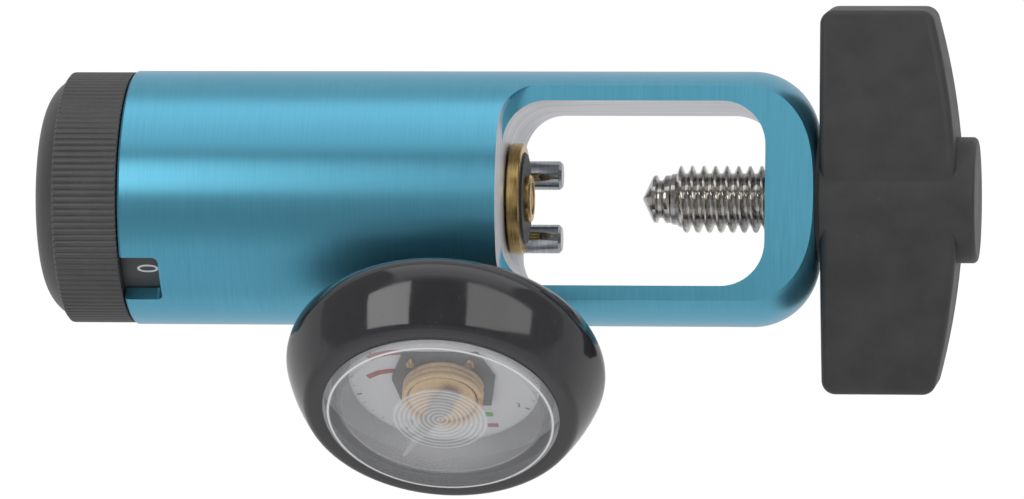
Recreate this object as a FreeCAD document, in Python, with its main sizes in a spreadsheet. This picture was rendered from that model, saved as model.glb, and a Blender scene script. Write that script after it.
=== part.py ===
import FreeCAD, Part
import math
import os

import Sketcher

# Yoke-style oxygen regulator for a pin-indexed cylinder valve, in millimetres.
#
# The origin is the centre of the seat wall, the face of the yoke that the cylinder's valve post
# is pressed against. +X runs along the body's axis towards the T-handle, +Z points up along the
# valve post, away from the cylinder, and the two index pins lie below the seal on the -Z side.
# The gauge leans from +Z towards -Y. The pieces of the gauge are drawn in a frame of their own,
# where x is the height over the body's axis, and are then placed on the body.

V = FreeCAD.Vector

# Each driving size: its name, its value and what it is.
DRIVING_SIZES = (
    ("body_dia", 34.9, "anodised bar"),
    ("body_left", 51.7, "seat wall to the body's left end"),
    ("yoke_length", 35.9, "seat wall to the end wall, along X"),
    ("end_wall", 6.6, "thickness of the tapped end wall"),
    ("yoke_width", 25.2, "yoke opening across Y"),
    ("yoke_corner", 6.0, "corner radius of the yoke opening"),
    ("end_round", 9.0, "round on the body's right end"),
    ("flat_height", 9.55, "milled flat over the axis"),
    ("flat_corner", 5.5, "corner radius of the flat's end"),
    ("edge_chamfer", 0.3, "small turned chamfers"),
    ("window_top", 33.1, "upper edge of the number window, degrees from +Z"),
    ("window_bottom", 58.0, "lower edge of the number window, degrees from +Z"),
    ("window_length", 5.3, "number window along X"),
    ("window_corner", 0.9, "corners of the number window"),
    ("rim_wall", 2.0, "wall of the body over the numbered drum"),
    ("drum_bore_depth", 6.7, "depth of the bore round the drum"),
    ("housing_dia", 27.0, "flow housing and its bore"),
    ("housing_length", 11.0, "flow housing along X"),
    ("piston_dia", 24.0, "piston bore"),
    ("piston_thick", 5.0, "piston head"),
    ("spring_room", 9.0, "length of the installed piston spring"),
    ("stem_dia", 7.1, "bore that guides the piston's stem"),
    ("stem_bore_length", 7.5, "length of that bore"),
    ("sliding_gap", 0.05, "radial gap of sliding and turning fits"),
    ("piston_travel", 0.8, "piston travel from open to shut"),
    ("piston_bore", 2.0, "gas bore along the piston"),
    ("piston_port", 1.2, "cross port behind the piston's seat"),
    ("piston_port_setback", 0.8, "that port's axis behind the seat"),
    ("piston_seat_dia", 4.0, "soft seat in the piston's end"),
    ("piston_seat_depth", 1.5, "soft seat in the piston's end"),
    ("stem_seal_setback", 5.3, "stem's O-ring from the end of its bore"),
    ("nozzle_dia", 5.0, "nozzle insert"),
    ("nozzle_bore", 1.6, "hole through the nozzle"),
    ("nozzle_crown", 0.6, "nozzle lip over its insert's face"),
    ("nipple_dia", 10.0, "inlet nipple in the body"),
    ("nipple_depth", 8.8, "inlet nipple behind the seat wall"),
    ("nose_dia", 6.5, "nipple nose through the seal"),
    ("nose_length", 3.1, "nose over the seat wall"),
    ("filter_dia", 4.4, "sintered inlet filter"),
    ("filter_length", 1.8, "sintered inlet filter"),
    ("gas_bore", 3.0, "gas passage through the nipple"),
    ("seal_dia", 15.2, "brass ring of the seal"),
    ("seal_core_dia", 12.8, "elastomer core of the seal"),
    ("seal_thick", 2.3, "elastomer core, face to face"),
    ("seal_proud", 0.3, "core proud of the brass ring on each face"),
    ("pin_dia", 4.0, "index pin"),
    ("pin_shank_dia", 4.4, "index pin in its hole"),
    ("pin_neck_dia", 3.6, "relief of the pin at the seat wall"),
    ("pin_neck_length", 0.5, "relief of the pin at the seat wall"),
    ("pin_circle", 14.3, "index pins from the axis"),
    ("pin_angle", 18.0, "each index pin from the -Z line, degrees"),
    ("pin_reach", 5.65, "pin over the seat wall"),
    ("pin_depth", 5.0, "pin in its hole"),
    ("pin_chamfer", 0.4, "chamfer on the pin's tip"),
    ("screw_dia", 9.16, "clamp screw over its thread"),
    ("screw_root_dia", 7.14, "clamp screw at the thread's root"),
    ("thread_pitch", 1.5875, "16 threads to the inch"),
    ("screw_gap", 0.07, "radial gap of the screw in its hole"),
    ("tip_x", 18.3, "cone point of the screw from the seat wall"),
    ("tip_cone", 1.3, "length of the cone point"),
    ("tip_cone_dia", 5.6, "base of the cone point"),
    ("tip_collar_dia", 6.54, "collar and land behind the cone"),
    ("tip_neck_dia", 5.2, "neck between collar and land"),
    ("tip_bevel", 0.3, "bevels between collar, neck and land"),
    ("tip_collar_length", 0.4, "collar behind the cone"),
    ("tip_neck_length", 0.5, "neck between collar and land"),
    ("tip_land_length", 0.8, "land behind the neck"),
    ("tip_lead_length", 0.6, "plain lead before the thread"),
    ("tip_lead_rise", 0.25, "plain lead over the land"),
    ("tip_length", 5.2, "cone point to the first full thread"),
    ("screw_in_handle", 15.0, "screw moulded into the handle"),
    ("washer_dia", 17.2, "thrust washer"),
    ("washer_thick", 0.5, "thrust washer"),
    ("face_gap", 0.05, "gap between faces that turn on each other"),
    ("handle_span", 52.4, "T-handle, tip to tip"),
    ("handle_depth", 18.7, "T-handle along X at its axis"),
    ("handle_back_radius", 100.0, "curve of the handle's right face"),
    ("handle_thick", 16.0, "T-handle across, at its axis"),
    ("handle_crown_radius", 143.0, "crown of the handle's flanks"),
    ("handle_corner", 1.9, "round on the handle's corners"),
    ("handle_edge", 1.2, "round on the handle's long edges"),
    ("hub_dia", 17.2, "hub of the T-handle"),
    ("hub_length", 21.1, "hub of the T-handle"),
    ("hub_edge", 0.7, "round on the hub's end"),
    ("handle_turn", 10.0, "rest angle of the T-handle about the axis"),
    ("knob_step", 0.2, "knob's ribs below the bar's surface, on the radius"),
    ("knob_gap", 0.25, "gap between knob and body"),
    ("grip_length", 8.25, "ribbed band of the knob"),
    ("knob_length", 14.05, "knob outside the body"),
    ("knob_chamfer", 0.9, "step behind the ribs"),
    ("dome_start_dia", 22.0, "edge of the knob's nearly flat end"),
    ("dome_depth", 1.0, "rise of that end"),
    ("shoulder_radius", 7.5, "curve between the ribs and the end"),
    ("rib_count", 120, "ribs round the knob"),
    ("rib_depth", 0.35, "groove between two ribs"),
    ("rib_land", 0.3, "plain edge beside the ribs"),
    ("rib_groove_share", 0.36, "groove's mean width as a share of the rib pitch"),
    ("rib_groove_slope", 0.5, "narrowing and widening of that groove, as a share"),
    ("pip_dia", 2.2, "touch mark on the knob's end"),
    ("pip_offset", 3.2, "touch mark from the axis"),
    ("pip_height", 0.4, "touch mark"),
    ("knob_wall", 2.0, "knob wall"),
    ("knob_end_wall", 1.5, "wall of the knob's end"),
    ("knob_hub_dia", 10.0, "hub inside the knob"),
    ("knob_hub_gap", 4.0, "that hub to the flow housing"),
    ("drum_gap", 0.25, "radial gap between drum and body"),
    ("drum_end_gap", 1.0, "drum to the bottom of its bore"),
    ("spindle_dia", 5.0, "selector spindle"),
    ("spindle_in_knob", 12.0, "spindle pressed into the knob's hub"),
    ("spindle_seal_setback", 2.0, "spindle's O-ring from the housing's end"),
    ("clip_dia", 8.4, "spring clip on the spindle"),
    ("clip_thick", 0.5, "spring clip"),
    ("clip_groove_dia", 3.8, "groove for the clip"),
    ("clip_gap_angle", 60.0, "mouth of the clip, degrees"),
    ("disc_dia", 20.4, "orifice disc"),
    ("disc_thick", 2.2, "orifice disc"),
    ("disc_room", 3.2, "recess in the housing for the disc"),
    ("disc_gap", 0.2, "disc to the recess floor"),
    ("orifice_count", 12, "stops of the selector, one of them shut"),
    ("orifice_dia", 0.9, "metering hole"),
    ("orifice_circle", 7.0, "metering holes from the axis"),
    ("detent_circle", 4.4, "detent track from the axis"),
    ("ball_dia", 2.0, "detent ball"),
    ("ball_proud", 0.75, "ball over the recess floor"),
    ("detent_depth", 5.0, "hole for the detent spring"),
    ("dimple_depth", 0.2, "click dimples under the ball's track"),
    ("port_dia", 1.8, "outlet port in the housing"),
    ("port_depth", 3.6, "outlet port in the housing"),
    ("port_seal_section", 1.0, "O-ring round the outlet port"),
    ("groove_setback", 6.0, "outlet groove from the housing's right end"),
    ("groove_width", 3.6, "outlet groove round the housing"),
    ("groove_depth", 1.7, "outlet groove round the housing"),
    ("seal_groove_width", 1.6, "O-ring grooves"),
    ("seal_section", 1.3, "O-rings of housing and piston"),
    ("small_seal_section", 1.05, "O-rings of stem and spindle"),
    ("seal_slack", 0.02, "O-ring short of the wall it seals on"),
    ("spring_wire", 1.5, "piston spring wire"),
    ("spring_mean_dia", 17.0, "piston spring"),
    ("spring_turns", 3.5, "piston spring"),
    ("small_spring_wire", 0.35, "detent spring wire"),
    ("small_spring_turns", 4.0, "detent spring"),
    ("barb_thread_dia", 6.0, "hose barb's threaded end"),
    ("barb_hex", 9.0, "hose barb's hexagon across flats"),
    ("barb_hex_length", 3.0, "hose barb's hexagon"),
    ("barb_collar_length", 1.0, "neck between hexagon and first ridge"),
    ("barb_neck_dia", 4.6, "hose barb between its ridges, and its nose"),
    ("barb_ridge_dia", 6.2, "hose barb's ridges"),
    ("barb_ridge_length", 3.2, "one ridge of the hose barb"),
    ("barb_ridges", 3, "ridges of the hose barb"),
    ("barb_nose_length", 2.5, "plain nose of the hose barb"),
    ("barb_bore", 2.8, "hole through the hose barb"),
    ("spot_dia", 11.6, "spot face under the hexagon"),
    ("spot_depth", 0.45, "spot face under the hexagon"),
    ("vent_dia", 1.6, "vent of the spring's room"),
    ("gauge_x", 6.35, "gauge axis from the seat wall"),
    ("gauge_lean", 55.6, "gauge axis from +Z, degrees"),
    ("gauge_port_dia", 9.7, "threaded gauge port"),
    ("gauge_port_floor", 7.6, "floor of the gauge port over the axis"),
    ("gauge_gas_bore", 1.8, "drilled passages to the gauge"),
    ("gauge_hex", 11.0, "gauge stem's hexagon across flats"),
    ("gauge_hex_gap", 0.65, "gauge hexagon clear of the bar"),
    ("gauge_hex_length", 3.0, "gauge stem's hexagon"),
    ("gauge_neck_dia", 8.0, "gauge stem through boot and case"),
    ("boot_gap", 0.5, "boot's back clear of the hexagon"),
    ("boot_back_dia", 25.0, "flat back of the boot"),
    ("boot_dia", 43.2, "boot at its widest"),
    ("boot_wide_rise", 8.6, "boot's widest circle over its back"),
    ("boot_round_radius", 6.0, "round of the boot's widest part"),
    ("boot_round_behind", 2.2, "start of that round behind the widest circle"),
    ("boot_round_ahead", 1.5, "end of that round in front of the widest circle"),
    ("boot_cone_rise", 14.6, "end of the boot's cone over its back"),
    ("boot_cone_dia", 38.8, "end of the boot's cone"),
    ("boot_height", 15.9, "boot's front edge over its back"),
    ("boot_front_dia", 35.4, "boot's front edge"),
    ("boot_back_radius", 10.2, "round of the boot's back"),
    ("boot_belly_radius", 15.0, "swell of the boot's cone"),
    ("boot_edge_radius", 2.6, "round of the boot's front edge"),
    ("boot_wall", 2.0, "boot's back wall"),
    ("boot_lip", 1.6, "boot's front lip"),
    ("case_dia", 36.8, "gauge case"),
    ("case_wall", 1.0, "gauge case"),
    ("case_back_dia", 27.8, "flat back of the case"),
    ("case_cone", 3.2, "cone from that flat to the case's full width"),
    ("lens_dia", 32.08, "lens through the boot"),
    ("lens_wall", 1.2, "lens wall"),
    ("lens_flange", 1.3, "lens flange"),
    ("lens_flange_gap", 0.2, "lens flange clear of the boot, on the radius"),
    ("lens_proud", 0.8, "lens face over the boot's front edge"),
    ("lens_round", 1.1, "round on the lens's rim"),
    ("ring_disc_dia", 13.0, "ringed centre of the lens"),
    ("ring_count", 10, "rings of that centre"),
    ("ring_depth", 0.15, "rings of that centre"),
    ("dial_rise", 9.6, "back of the dial over the boot's back"),
    ("dial_thick", 0.4, "dial plate"),
    ("dial_gap", 0.2, "dial plate clear of the case, on the radius"),
    ("socket_dia", 6.0, "stem's socket through the dial"),
    ("bracket_thick", 0.8, "plate under the coil"),
    ("bracket_width", 14.0, "plate at its shoulders"),
    ("bracket_shoulder", 1.0, "plate's shoulders above the gauge axis"),
    ("bracket_head", 6.1, "plate's upper edge above the gauge axis"),
    ("bracket_head_width", 10.2, "plate's upper edge"),
    ("bracket_tail", 4.6, "plate's lower edge below the gauge axis"),
    ("bracket_tail_width", 12.0, "plate's lower edge"),
    ("bracket_screw_dia", 1.3, "brass screws of the plate"),
    ("bracket_screw_span", 8.0, "distance between those screws"),
    ("bracket_screw_offset", 5.1, "those screws above the gauge axis"),
    ("coil_dia", 11.0, "coiled tube over its turns"),
    ("coil_tube", 0.8, "coiled tube"),
    ("coil_turns", 3.0, "coiled tube"),
    ("pivot_dia", 1.4, "pointer's pivot"),
    ("pointer_gap", 0.1, "pointer blade clear of the coil"),
    ("pointer_thick", 0.35, "pointer blade"),
    ("pointer_tip_width", 0.4, "pointer blade at its tip"),
    ("pointer_hub_dia", 3.2, "pointer's hub"),
    ("pointer_hub_drop", 0.6, "pointer's hub below its blade"),
    ("pointer_hub_rise", 0.3, "pointer's hub over its blade"),
    ("pointer_length", 12.6, "pointer blade from the gauge axis"),
    ("pointer_tail", 3.6, "pointer's counterweight end"),
    ("pointer_width", 2.4, "pointer blade at its root"),
    ("pointer_rest", 150.0, "rest direction of the pointer, degrees"),
)

TOLERANCE = 1e-6
OVERRUN = 1.0

# Turns of a coil that one of its faces covers; longer faces don't mesh well.
TURNS_PER_FACE = 0.25


class Size:
    """A number together with the spreadsheet expression that gives it."""

    def __init__(self, value, text):
        self.value = float(value)
        self.text = text

    @staticmethod
    def of(thing):
        if isinstance(thing, Size):
            return thing
        return Size(thing, "(%s)" % repr(float(thing)))

    def joined(self, sign, other, value):
        return Size(value, "(%s %s %s)" % (self.text, sign, other.text))

    def __add__(self, other):
        other = Size.of(other)
        return self.joined("+", other, self.value + other.value)

    def __sub__(self, other):
        other = Size.of(other)
        return self.joined("-", other, self.value - other.value)

    def __mul__(self, other):
        other = Size.of(other)
        return self.joined("*", other, self.value * other.value)

    def __truediv__(self, other):
        other = Size.of(other)
        return self.joined("/", other, self.value / other.value)

    def __rtruediv__(self, other):
        return Size.of(other) / self

    def __radd__(self, other):
        return Size.of(other) + self

    def __rsub__(self, other):
        return Size.of(other) - self

    def __rmul__(self, other):
        return Size.of(other) * self

    def __neg__(self):
        return Size(-self.value, "(-1 * %s)" % self.text)


def root(size):
    return Size(math.sqrt(size.value), "sqrt(%s)" % size.text)


def sine(degrees):
    return Size(math.sin(math.radians(degrees.value)), "sin(%s)" % degrees.text)


def cosine(degrees):
    return Size(math.cos(math.radians(degrees.value)), "cos(%s)" % degrees.text)


def cap_radius(half_width, rise):
    """Radius of the arc that rises by that much over that half width."""
    return (half_width * half_width + rise * rise) / (2 * rise)


class Sizes:
    """The driving sizes, kept in the document's spreadsheet and read back from it."""

    def __init__(self, document):
        self.sheet = document.addObject("Spreadsheet::Sheet", "Sizes")
        for row, (alias, value, meaning) in enumerate(DRIVING_SIZES, start=1):
            self.sheet.set("A%d" % row, alias)
            self.sheet.set("B%d" % row, str(value))
            self.sheet.set("C%d" % row, meaning)
            self.sheet.setAlias("B%d" % row, alias)
        document.recompute()

    def __getattr__(self, alias):
        return Size(self.sheet.get(alias), "Sizes." + alias)


doc = FreeCAD.newDocument("OxygenRegulator")
S = Sizes(doc)
pieces = []


# Places and frames

def bind(thing, attribute, size):
    """Sets a property to a size and ties it to the spreadsheet."""
    size = Size.of(size)
    if "." not in attribute:
        setattr(thing, attribute, size.value)
    thing.setExpression(attribute, size.text)


def vector_text(x, y, z):
    return "create(<<vector>>; %s; %s; %s)" % tuple(Size.of(part).text for part in (x, y, z))


def turn_text(axis, angle):
    return "create(<<rotation>>; %s; %s)" % (vector_text(*axis), Size.of(angle).text)


def place_text(position, turn):
    return "create(<<placement>>; %s; %s)" % (vector_text(*position), turn)


def on_body_axis(thing, position, axis=(0, 0, 1), angle=0):
    """Places a piece by a position and one turn."""
    thing.setExpression("Placement", place_text(position, turn_text(axis, angle)))


def along_x(thing, x, y=0, z=0):
    """Turns a piece drawn about Z so that its own Z runs along -X, with its base at x."""
    on_body_axis(thing, (x, y, z), (0, 1, 0), -90)


def on_gauge_axis(thing):
    """Turns a piece drawn about X onto the gauge axis, x being the height over the body's axis."""
    lean = turn_text((1, 0, 0), S.gauge_lean)
    upright = turn_text((0, 1, 0), -90)
    thing.setExpression("Placement", place_text((-S.gauge_x, 0, 0), "%s * %s" % (lean, upright)))


def gauge_plane(sketch, height):
    """Lays a sketch of a body piece square to the gauge axis, at a height over the body's axis."""
    position = (0, -height * sine(S.gauge_lean), height * cosine(S.gauge_lean))
    text = place_text(position, turn_text((1, 0, 0), S.gauge_lean))
    sketch.setExpression("AttachmentOffset", text)


# Sketches

def new_body(name):
    body = doc.addObject("PartDesign::Body", name)
    body.Label = name
    return body


def new_sketch(body, plane, name, offset=None):
    """A sketch on one of the body's own origin planes, moved along that plane's normal."""
    sketch = body.newObject("Sketcher::SketchObject", name)
    support = [feature for feature in body.Origin.OriginFeatures if feature.Role == plane][0]
    sketch.AttachmentSupport = (support, [""])
    sketch.MapMode = "FlatFace"
    if offset is not None:
        bind(sketch, "AttachmentOffset.Base.z", offset)
    return sketch


def pin_point(sketch, curve, end, x, y):
    """Fixes a point of a sketch at x, y with two constraints tied to the spreadsheet."""
    for kind, size in (("DistanceX", x), ("DistanceY", y)):
        size = Size.of(size)
        number = sketch.addConstraint(Sketcher.Constraint(kind, -1, 1, curve, end, size.value))
        if "Sizes" in size.text:
            sketch.setExpression("Constraints[%d]" % number, size.text)


def arc_through(start, end, radius, side):
    """The minor arc between two points; side is 1 where it swells to the left of its way."""
    chord = end - start
    middle = (start + end) * 0.5
    left = V(-chord.y, chord.x, 0).normalize()
    rise = math.sqrt(radius ** 2 - (chord.Length / 2) ** 2)
    centre = middle - left * rise * side
    crown = centre + left * radius * side
    return Part.Arc(start, crown, end)


def outline(sketch, corners):
    """A closed outline. A corner is (x, y), or (x, y, radius, side) where an arc leads to it.

    A sketch numbers an arc's ends counterclockwise, so an arc that runs the other way has its
    second end first.
    """
    points = [V(Size.of(corner[0]).value, Size.of(corner[1]).value, 0) for corner in corners]
    first = sketch.GeometryCount
    count = len(corners)
    radii = []
    starts = []
    ends = []
    for index in range(count):
        start = points[index]
        end = points[(index + 1) % count]
        arrival = corners[(index + 1) % count]
        if len(arrival) == 4:
            radius = Size.of(arrival[2])
            arc = arc_through(start, end, radius.value, arrival[3])
            number = sketch.addGeometry(arc, False)
            forward = arrival[3] < 0
            radii.append((number, radius))
            starts.append((number, 1 if forward else 2))
            ends.append((number, 2 if forward else 1))
        else:
            number = sketch.addGeometry(Part.LineSegment(start, end), False)
            starts.append((number, 1))
            ends.append((number, 2))
    for index in range(count):
        after = starts[(index + 1) % count]
        sketch.addConstraint(Sketcher.Constraint("Coincident", *ends[index], *after))
    for index in range(count):
        pin_point(sketch, starts[index][0], starts[index][1], *corners[index][:2])
    for number, radius in radii:
        tie = sketch.addConstraint(Sketcher.Constraint("Radius", number, radius.value))
        sketch.setExpression("Constraints[%d]" % tie, radius.text)
    return first


def circle(sketch, x, y, radius):
    radius = Size.of(radius)
    centre = V(Size.of(x).value, Size.of(y).value, 0)
    number = sketch.addGeometry(Part.Circle(centre, V(0, 0, 1), radius.value), False)
    pin_point(sketch, number, 3, x, y)
    tie = sketch.addConstraint(Sketcher.Constraint("Radius", number, radius.value))
    sketch.setExpression("Constraints[%d]" % tie, radius.text)


def slot_outline(half_length, half_width, corner, centre_x):
    """A rectangle with rounded corners, for outline()."""
    left = centre_x - half_length
    right = centre_x + half_length
    return [
        (left + corner, -half_width, corner, -1),
        (right - corner, -half_width),
        (right, corner - half_width, corner, -1),
        (right, half_width - corner),
        (right - corner, half_width, corner, -1),
        (left + corner, half_width),
        (left, half_width - corner, corner, -1),
        (left, corner - half_width),
    ]


def hexagon(sketch, across):
    """A hexagon about the sketch's origin, one flat facing right."""
    corner = across / math.sqrt(3)
    outline(sketch, [
        (corner * math.cos(math.radians(angle)), corner * math.sin(math.radians(angle)))
        for angle in range(30, 390, 60)
    ])


# Features

def finished(feature):
    """Recomputes and stops at once if a feature failed."""
    doc.recompute()
    if "Invalid" in feature.State or "Error" in feature.State:
        raise RuntimeError("%s failed" % feature.Label)
    return feature


def turned(body, corners, name="Turned", axis="H_Axis", plane="XY_Plane"):
    """The first feature of a turned piece: a half section swept round."""
    sketch = new_sketch(body, plane, name + "Section")
    outline(sketch, corners)
    feature = body.newObject("PartDesign::Revolution", name)
    feature.Profile = sketch
    feature.ReferenceAxis = (sketch, [axis])
    feature.Angle = 360
    return finished(feature)


def padded(body, sketch, name, length, backwards=False, both_ways=False):
    feature = body.newObject("PartDesign::Pad", name)
    feature.Profile = sketch
    bind(feature, "Length", length)
    feature.Reversed = backwards
    feature.Midplane = both_ways
    return finished(feature)


def check_cut(body, feature, before):
    """A cut that points away from the solid removes nothing and reports no error."""
    finished(feature)
    if not body.Shape.Volume < before - TOLERANCE:
        raise RuntimeError("%s cut nothing" % feature.Label)
    return feature


def pocketed(body, sketch, name, length, along_normal=False, both_ways=False):
    before = body.Shape.Volume
    feature = body.newObject("PartDesign::Pocket", name)
    feature.Profile = sketch
    bind(feature, "Length", length)
    feature.Reversed = along_normal
    feature.Midplane = both_ways
    return check_cut(body, feature, before)


def grooved(body, corners, name, axis="H_Axis", plane="XY_Plane"):
    before = body.Shape.Volume
    sketch = new_sketch(body, plane, name + "Section")
    outline(sketch, corners)
    feature = body.newObject("PartDesign::Groove", name)
    feature.Profile = sketch
    feature.ReferenceAxis = (sketch, [axis])
    feature.Angle = 360
    return check_cut(body, feature, before)


def repeated_round(body, feature, sketch, axis, count, name):
    """Repeats a cut at even angles."""
    before = body.Shape.Volume
    pattern = body.newObject("PartDesign::PolarPattern", name)
    pattern.Originals = [feature]
    pattern.Axis = (sketch, [axis])
    pattern.Angle = 360
    pattern.Occurrences = int(count.value)
    pattern.setExpression("Occurrences", count.text)
    body.Tip = pattern
    return check_cut(body, pattern, before)


def rounded(body, radius, chosen, name="Rounds"):
    """Rounds the edges of the body's last feature that the given test picks."""
    base = body.Tip
    names = ["Edge%d" % (index + 1) for index, edge in enumerate(base.Shape.Edges) if chosen(edge)]
    if not names:
        raise RuntimeError("%s found no edge on %s" % (name, body.Label))
    feature = body.newObject("PartDesign::Fillet", name)
    feature.Base = (base, names)
    bind(feature, "Radius", radius)
    return finished(feature)


def keep(piece):
    """Adds a finished object to the pieces that are written out."""
    pieces.append(piece)
    return piece


def ring_seal(name, x, section, outer):
    """An O-ring about the body's axis, given by its outer radius."""
    ring = doc.addObject("Part::Torus", name)
    ring.Label = name
    bind(ring, "Radius1", outer - section / 2)
    bind(ring, "Radius2", section / 2)
    along_x(ring, x)
    return keep(ring)


def coil_spring(name, wire, mean, length, turns, place):
    """A helical spring or coiled tube with its end faces left round."""
    helix = doc.addObject("Part::Helix", name + "Helix")
    bind(helix, "Radius", mean / 2)
    bind(helix, "Height", length - wire)
    bind(helix, "Pitch", (length - wire) / turns)
    helix.SegmentLength = TURNS_PER_FACE
    ring = doc.addObject("Part::Circle", name + "Wire")
    bind(ring, "Radius", wire / 2)
    ring.setExpression("Placement", place_text((mean / 2, 0, 0), turn_text((1, 0, 0), 90)))
    doc.recompute()
    coil = doc.addObject("Part::Sweep", name)
    coil.Label = name
    coil.Sections = [ring]
    coil.Spine = (helix, [])
    coil.Solid = True
    coil.Frenet = True
    place(coil)
    return keep(coil)


# Places that several pieces share, all from the driving sizes

bar = S.body_dia / 2
body_end = S.yoke_length + S.end_wall
seam = -S.body_left
drum_bore = bar - S.rim_wall
drum_floor = seam + S.drum_bore_depth
housing_right = drum_floor + S.housing_length
piston_right = housing_right + S.piston_thick
shoulder = piston_right + S.spring_room
stem_end = shoulder + S.stem_bore_length
stem_bore = S.stem_dia / 2
nozzle_tip = stem_end - S.nozzle_crown
seat_face = nozzle_tip - S.piston_travel
recess_floor = housing_right - S.disc_room
disc_left = recess_floor + S.disc_gap
disc_right = disc_left + S.disc_thick
groove_x = housing_right - S.groove_setback
hub_end = drum_floor - S.knob_hub_gap
screw_hole = S.screw_dia / 2 + S.screw_gap
screw_start = S.tip_x + S.tip_length
washer_left = body_end + S.face_gap
handle_left = washer_left + S.washer_thick + S.face_gap
knob_right = seam - S.knob_gap
knob_left = seam - S.knob_gap - S.knob_length
spindle_left = hub_end - S.spindle_in_knob
barb_top = -bar + S.spot_depth

# Heights of the gauge's pieces over the body's axis, along the gauge axis

hex_start = bar + S.gauge_hex_gap
boot_back = hex_start + S.gauge_hex_length + S.boot_gap
case_back = boot_back + S.boot_wall
boot_front = boot_back + S.boot_height
lens_seat = boot_front - S.boot_lip - S.lens_flange
lens_front = boot_front + S.lens_proud
dial_back = boot_back + S.dial_rise
plate_back = dial_back + S.dial_thick
plate_front = plate_back + S.bracket_thick
coil_length = S.coil_turns * (S.coil_tube + S.face_gap) + S.coil_tube
coil_back = plate_front + S.face_gap
pointer_back = coil_back + coil_length + S.pointer_gap
pivot_end = pointer_back + S.face_gap * 2


# Body of the regulator

def yoke_body():
    body = new_body("yoke_body")
    turned(body, [
        (seam, drum_bore),
        (seam, bar - S.edge_chamfer),
        (seam + S.edge_chamfer, bar),
        (body_end - S.end_round, bar),
        (body_end, bar - S.end_round, S.end_round, 1),
        (body_end, screw_hole),
        (0, screw_hole),
        (0, S.nipple_dia / 2),
        (-S.nipple_depth, S.nipple_dia / 2),
        (-S.nipple_depth, S.nozzle_dia / 2),
        (stem_end, S.nozzle_dia / 2),
        (stem_end, stem_bore),
        (shoulder, stem_bore),
        (shoulder, S.piston_dia / 2),
        (housing_right, S.piston_dia / 2),
        (housing_right, S.housing_dia / 2),
        (drum_floor, S.housing_dia / 2),
        (drum_floor, drum_bore),
    ])
    opening = new_sketch(body, "XY_Plane", "YokeOutline")
    outline(opening, slot_outline(S.yoke_length / 2, S.yoke_width / 2, S.yoke_corner,
                                  S.yoke_length / 2))
    pocketed(body, opening, "YokeOpening", S.body_dia, both_ways=True)
    mill_flat(body)
    window_notch(body)
    index_holes(body)
    gauge_port(body)
    lower_ports(body)
    return keep(body)


def mill_flat(body):
    """The flat round the yoke, with the cutter's radius in its two corners."""
    half = root(bar * bar - S.flat_height * S.flat_height) + S.edge_chamfer
    end = body_end + OVERRUN
    flat = new_sketch(body, "XY_Plane", "FlatOutline", S.flat_height)
    outline(flat, [
        (S.flat_corner, -half, S.flat_corner, -1),
        (end, -half),
        (end, half),
        (S.flat_corner, half),
        (0, half - S.flat_corner, S.flat_corner, -1),
        (0, S.flat_corner - half),
    ])
    pocketed(body, flat, "Flat", bar, along_normal=True)


def window_notch(body):
    """The notch in the rim through which one number of the drum shows."""
    inner = drum_bore - S.rim_wall
    outer = bar + S.rim_wall + OVERRUN
    corners = []
    for radius, angle in ((inner, S.window_top), (outer, S.window_top),
                          (outer, S.window_bottom), (inner, S.window_bottom)):
        corners.append((-radius * sine(angle), radius * cosine(angle)))
    notch = new_sketch(body, "YZ_Plane", "WindowOutline", seam)
    outline(notch, corners)
    pocketed(body, notch, "Window", S.window_length, along_normal=True)
    end = (seam + S.window_length).value

    def is_corner(edge):
        box = edge.BoundBox
        ends = [math.hypot(vertex.Y, vertex.Z) for vertex in edge.Vertexes]
        flat = abs(box.XMin - end) < TOLERANCE and abs(box.XMax - end) < TOLERANCE
        return flat and max(ends) - min(ends) > S.rim_wall.value / 2

    rounded(body, S.window_corner, is_corner, "WindowCorners")


def index_holes(body):
    holes = new_sketch(body, "YZ_Plane", "IndexHoles")
    for side in (1, -1):
        circle(holes, side * pin_y(), -pin_z(), S.pin_shank_dia / 2)
    pocketed(body, holes, "IndexHoleCut", S.pin_depth)


def pin_y():
    return S.pin_circle * sine(S.pin_angle)


def pin_z():
    return S.pin_circle * cosine(S.pin_angle)


def gauge_port(body):
    """The threaded gauge port and the passage drilled on to the inlet."""
    port = new_sketch(body, "XY_Plane", "GaugePort")
    circle(port, -S.gauge_x, 0, S.gauge_port_dia / 2)
    gauge_plane(port, S.gauge_port_floor)
    pocketed(body, port, "GaugePortCut", S.body_dia, along_normal=True)
    drill = new_sketch(body, "XY_Plane", "GaugeDrill")
    circle(drill, -S.gauge_x, 0, S.gauge_gas_bore / 2)
    gauge_plane(drill, 0)
    pocketed(body, drill, "GaugeDrillCut", S.gauge_port_floor + OVERRUN, along_normal=True)


def lower_ports(body):
    """The outlet port with its spot face, and the vent of the spring's room."""
    spot = new_sketch(body, "XY_Plane", "SpotFace", barb_top)
    circle(spot, groove_x, 0, S.spot_dia / 2)
    pocketed(body, spot, "SpotFaceCut", bar)
    outlet = new_sketch(body, "XY_Plane", "OutletPort")
    circle(outlet, groove_x, 0, S.barb_thread_dia / 2)
    pocketed(body, outlet, "OutletPortCut", S.body_dia)
    vent = new_sketch(body, "XY_Plane", "Vent")
    circle(vent, shoulder - S.spring_room / 2, 0, S.vent_dia / 2)
    pocketed(body, vent, "VentCut", S.body_dia)


# Inlet

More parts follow.
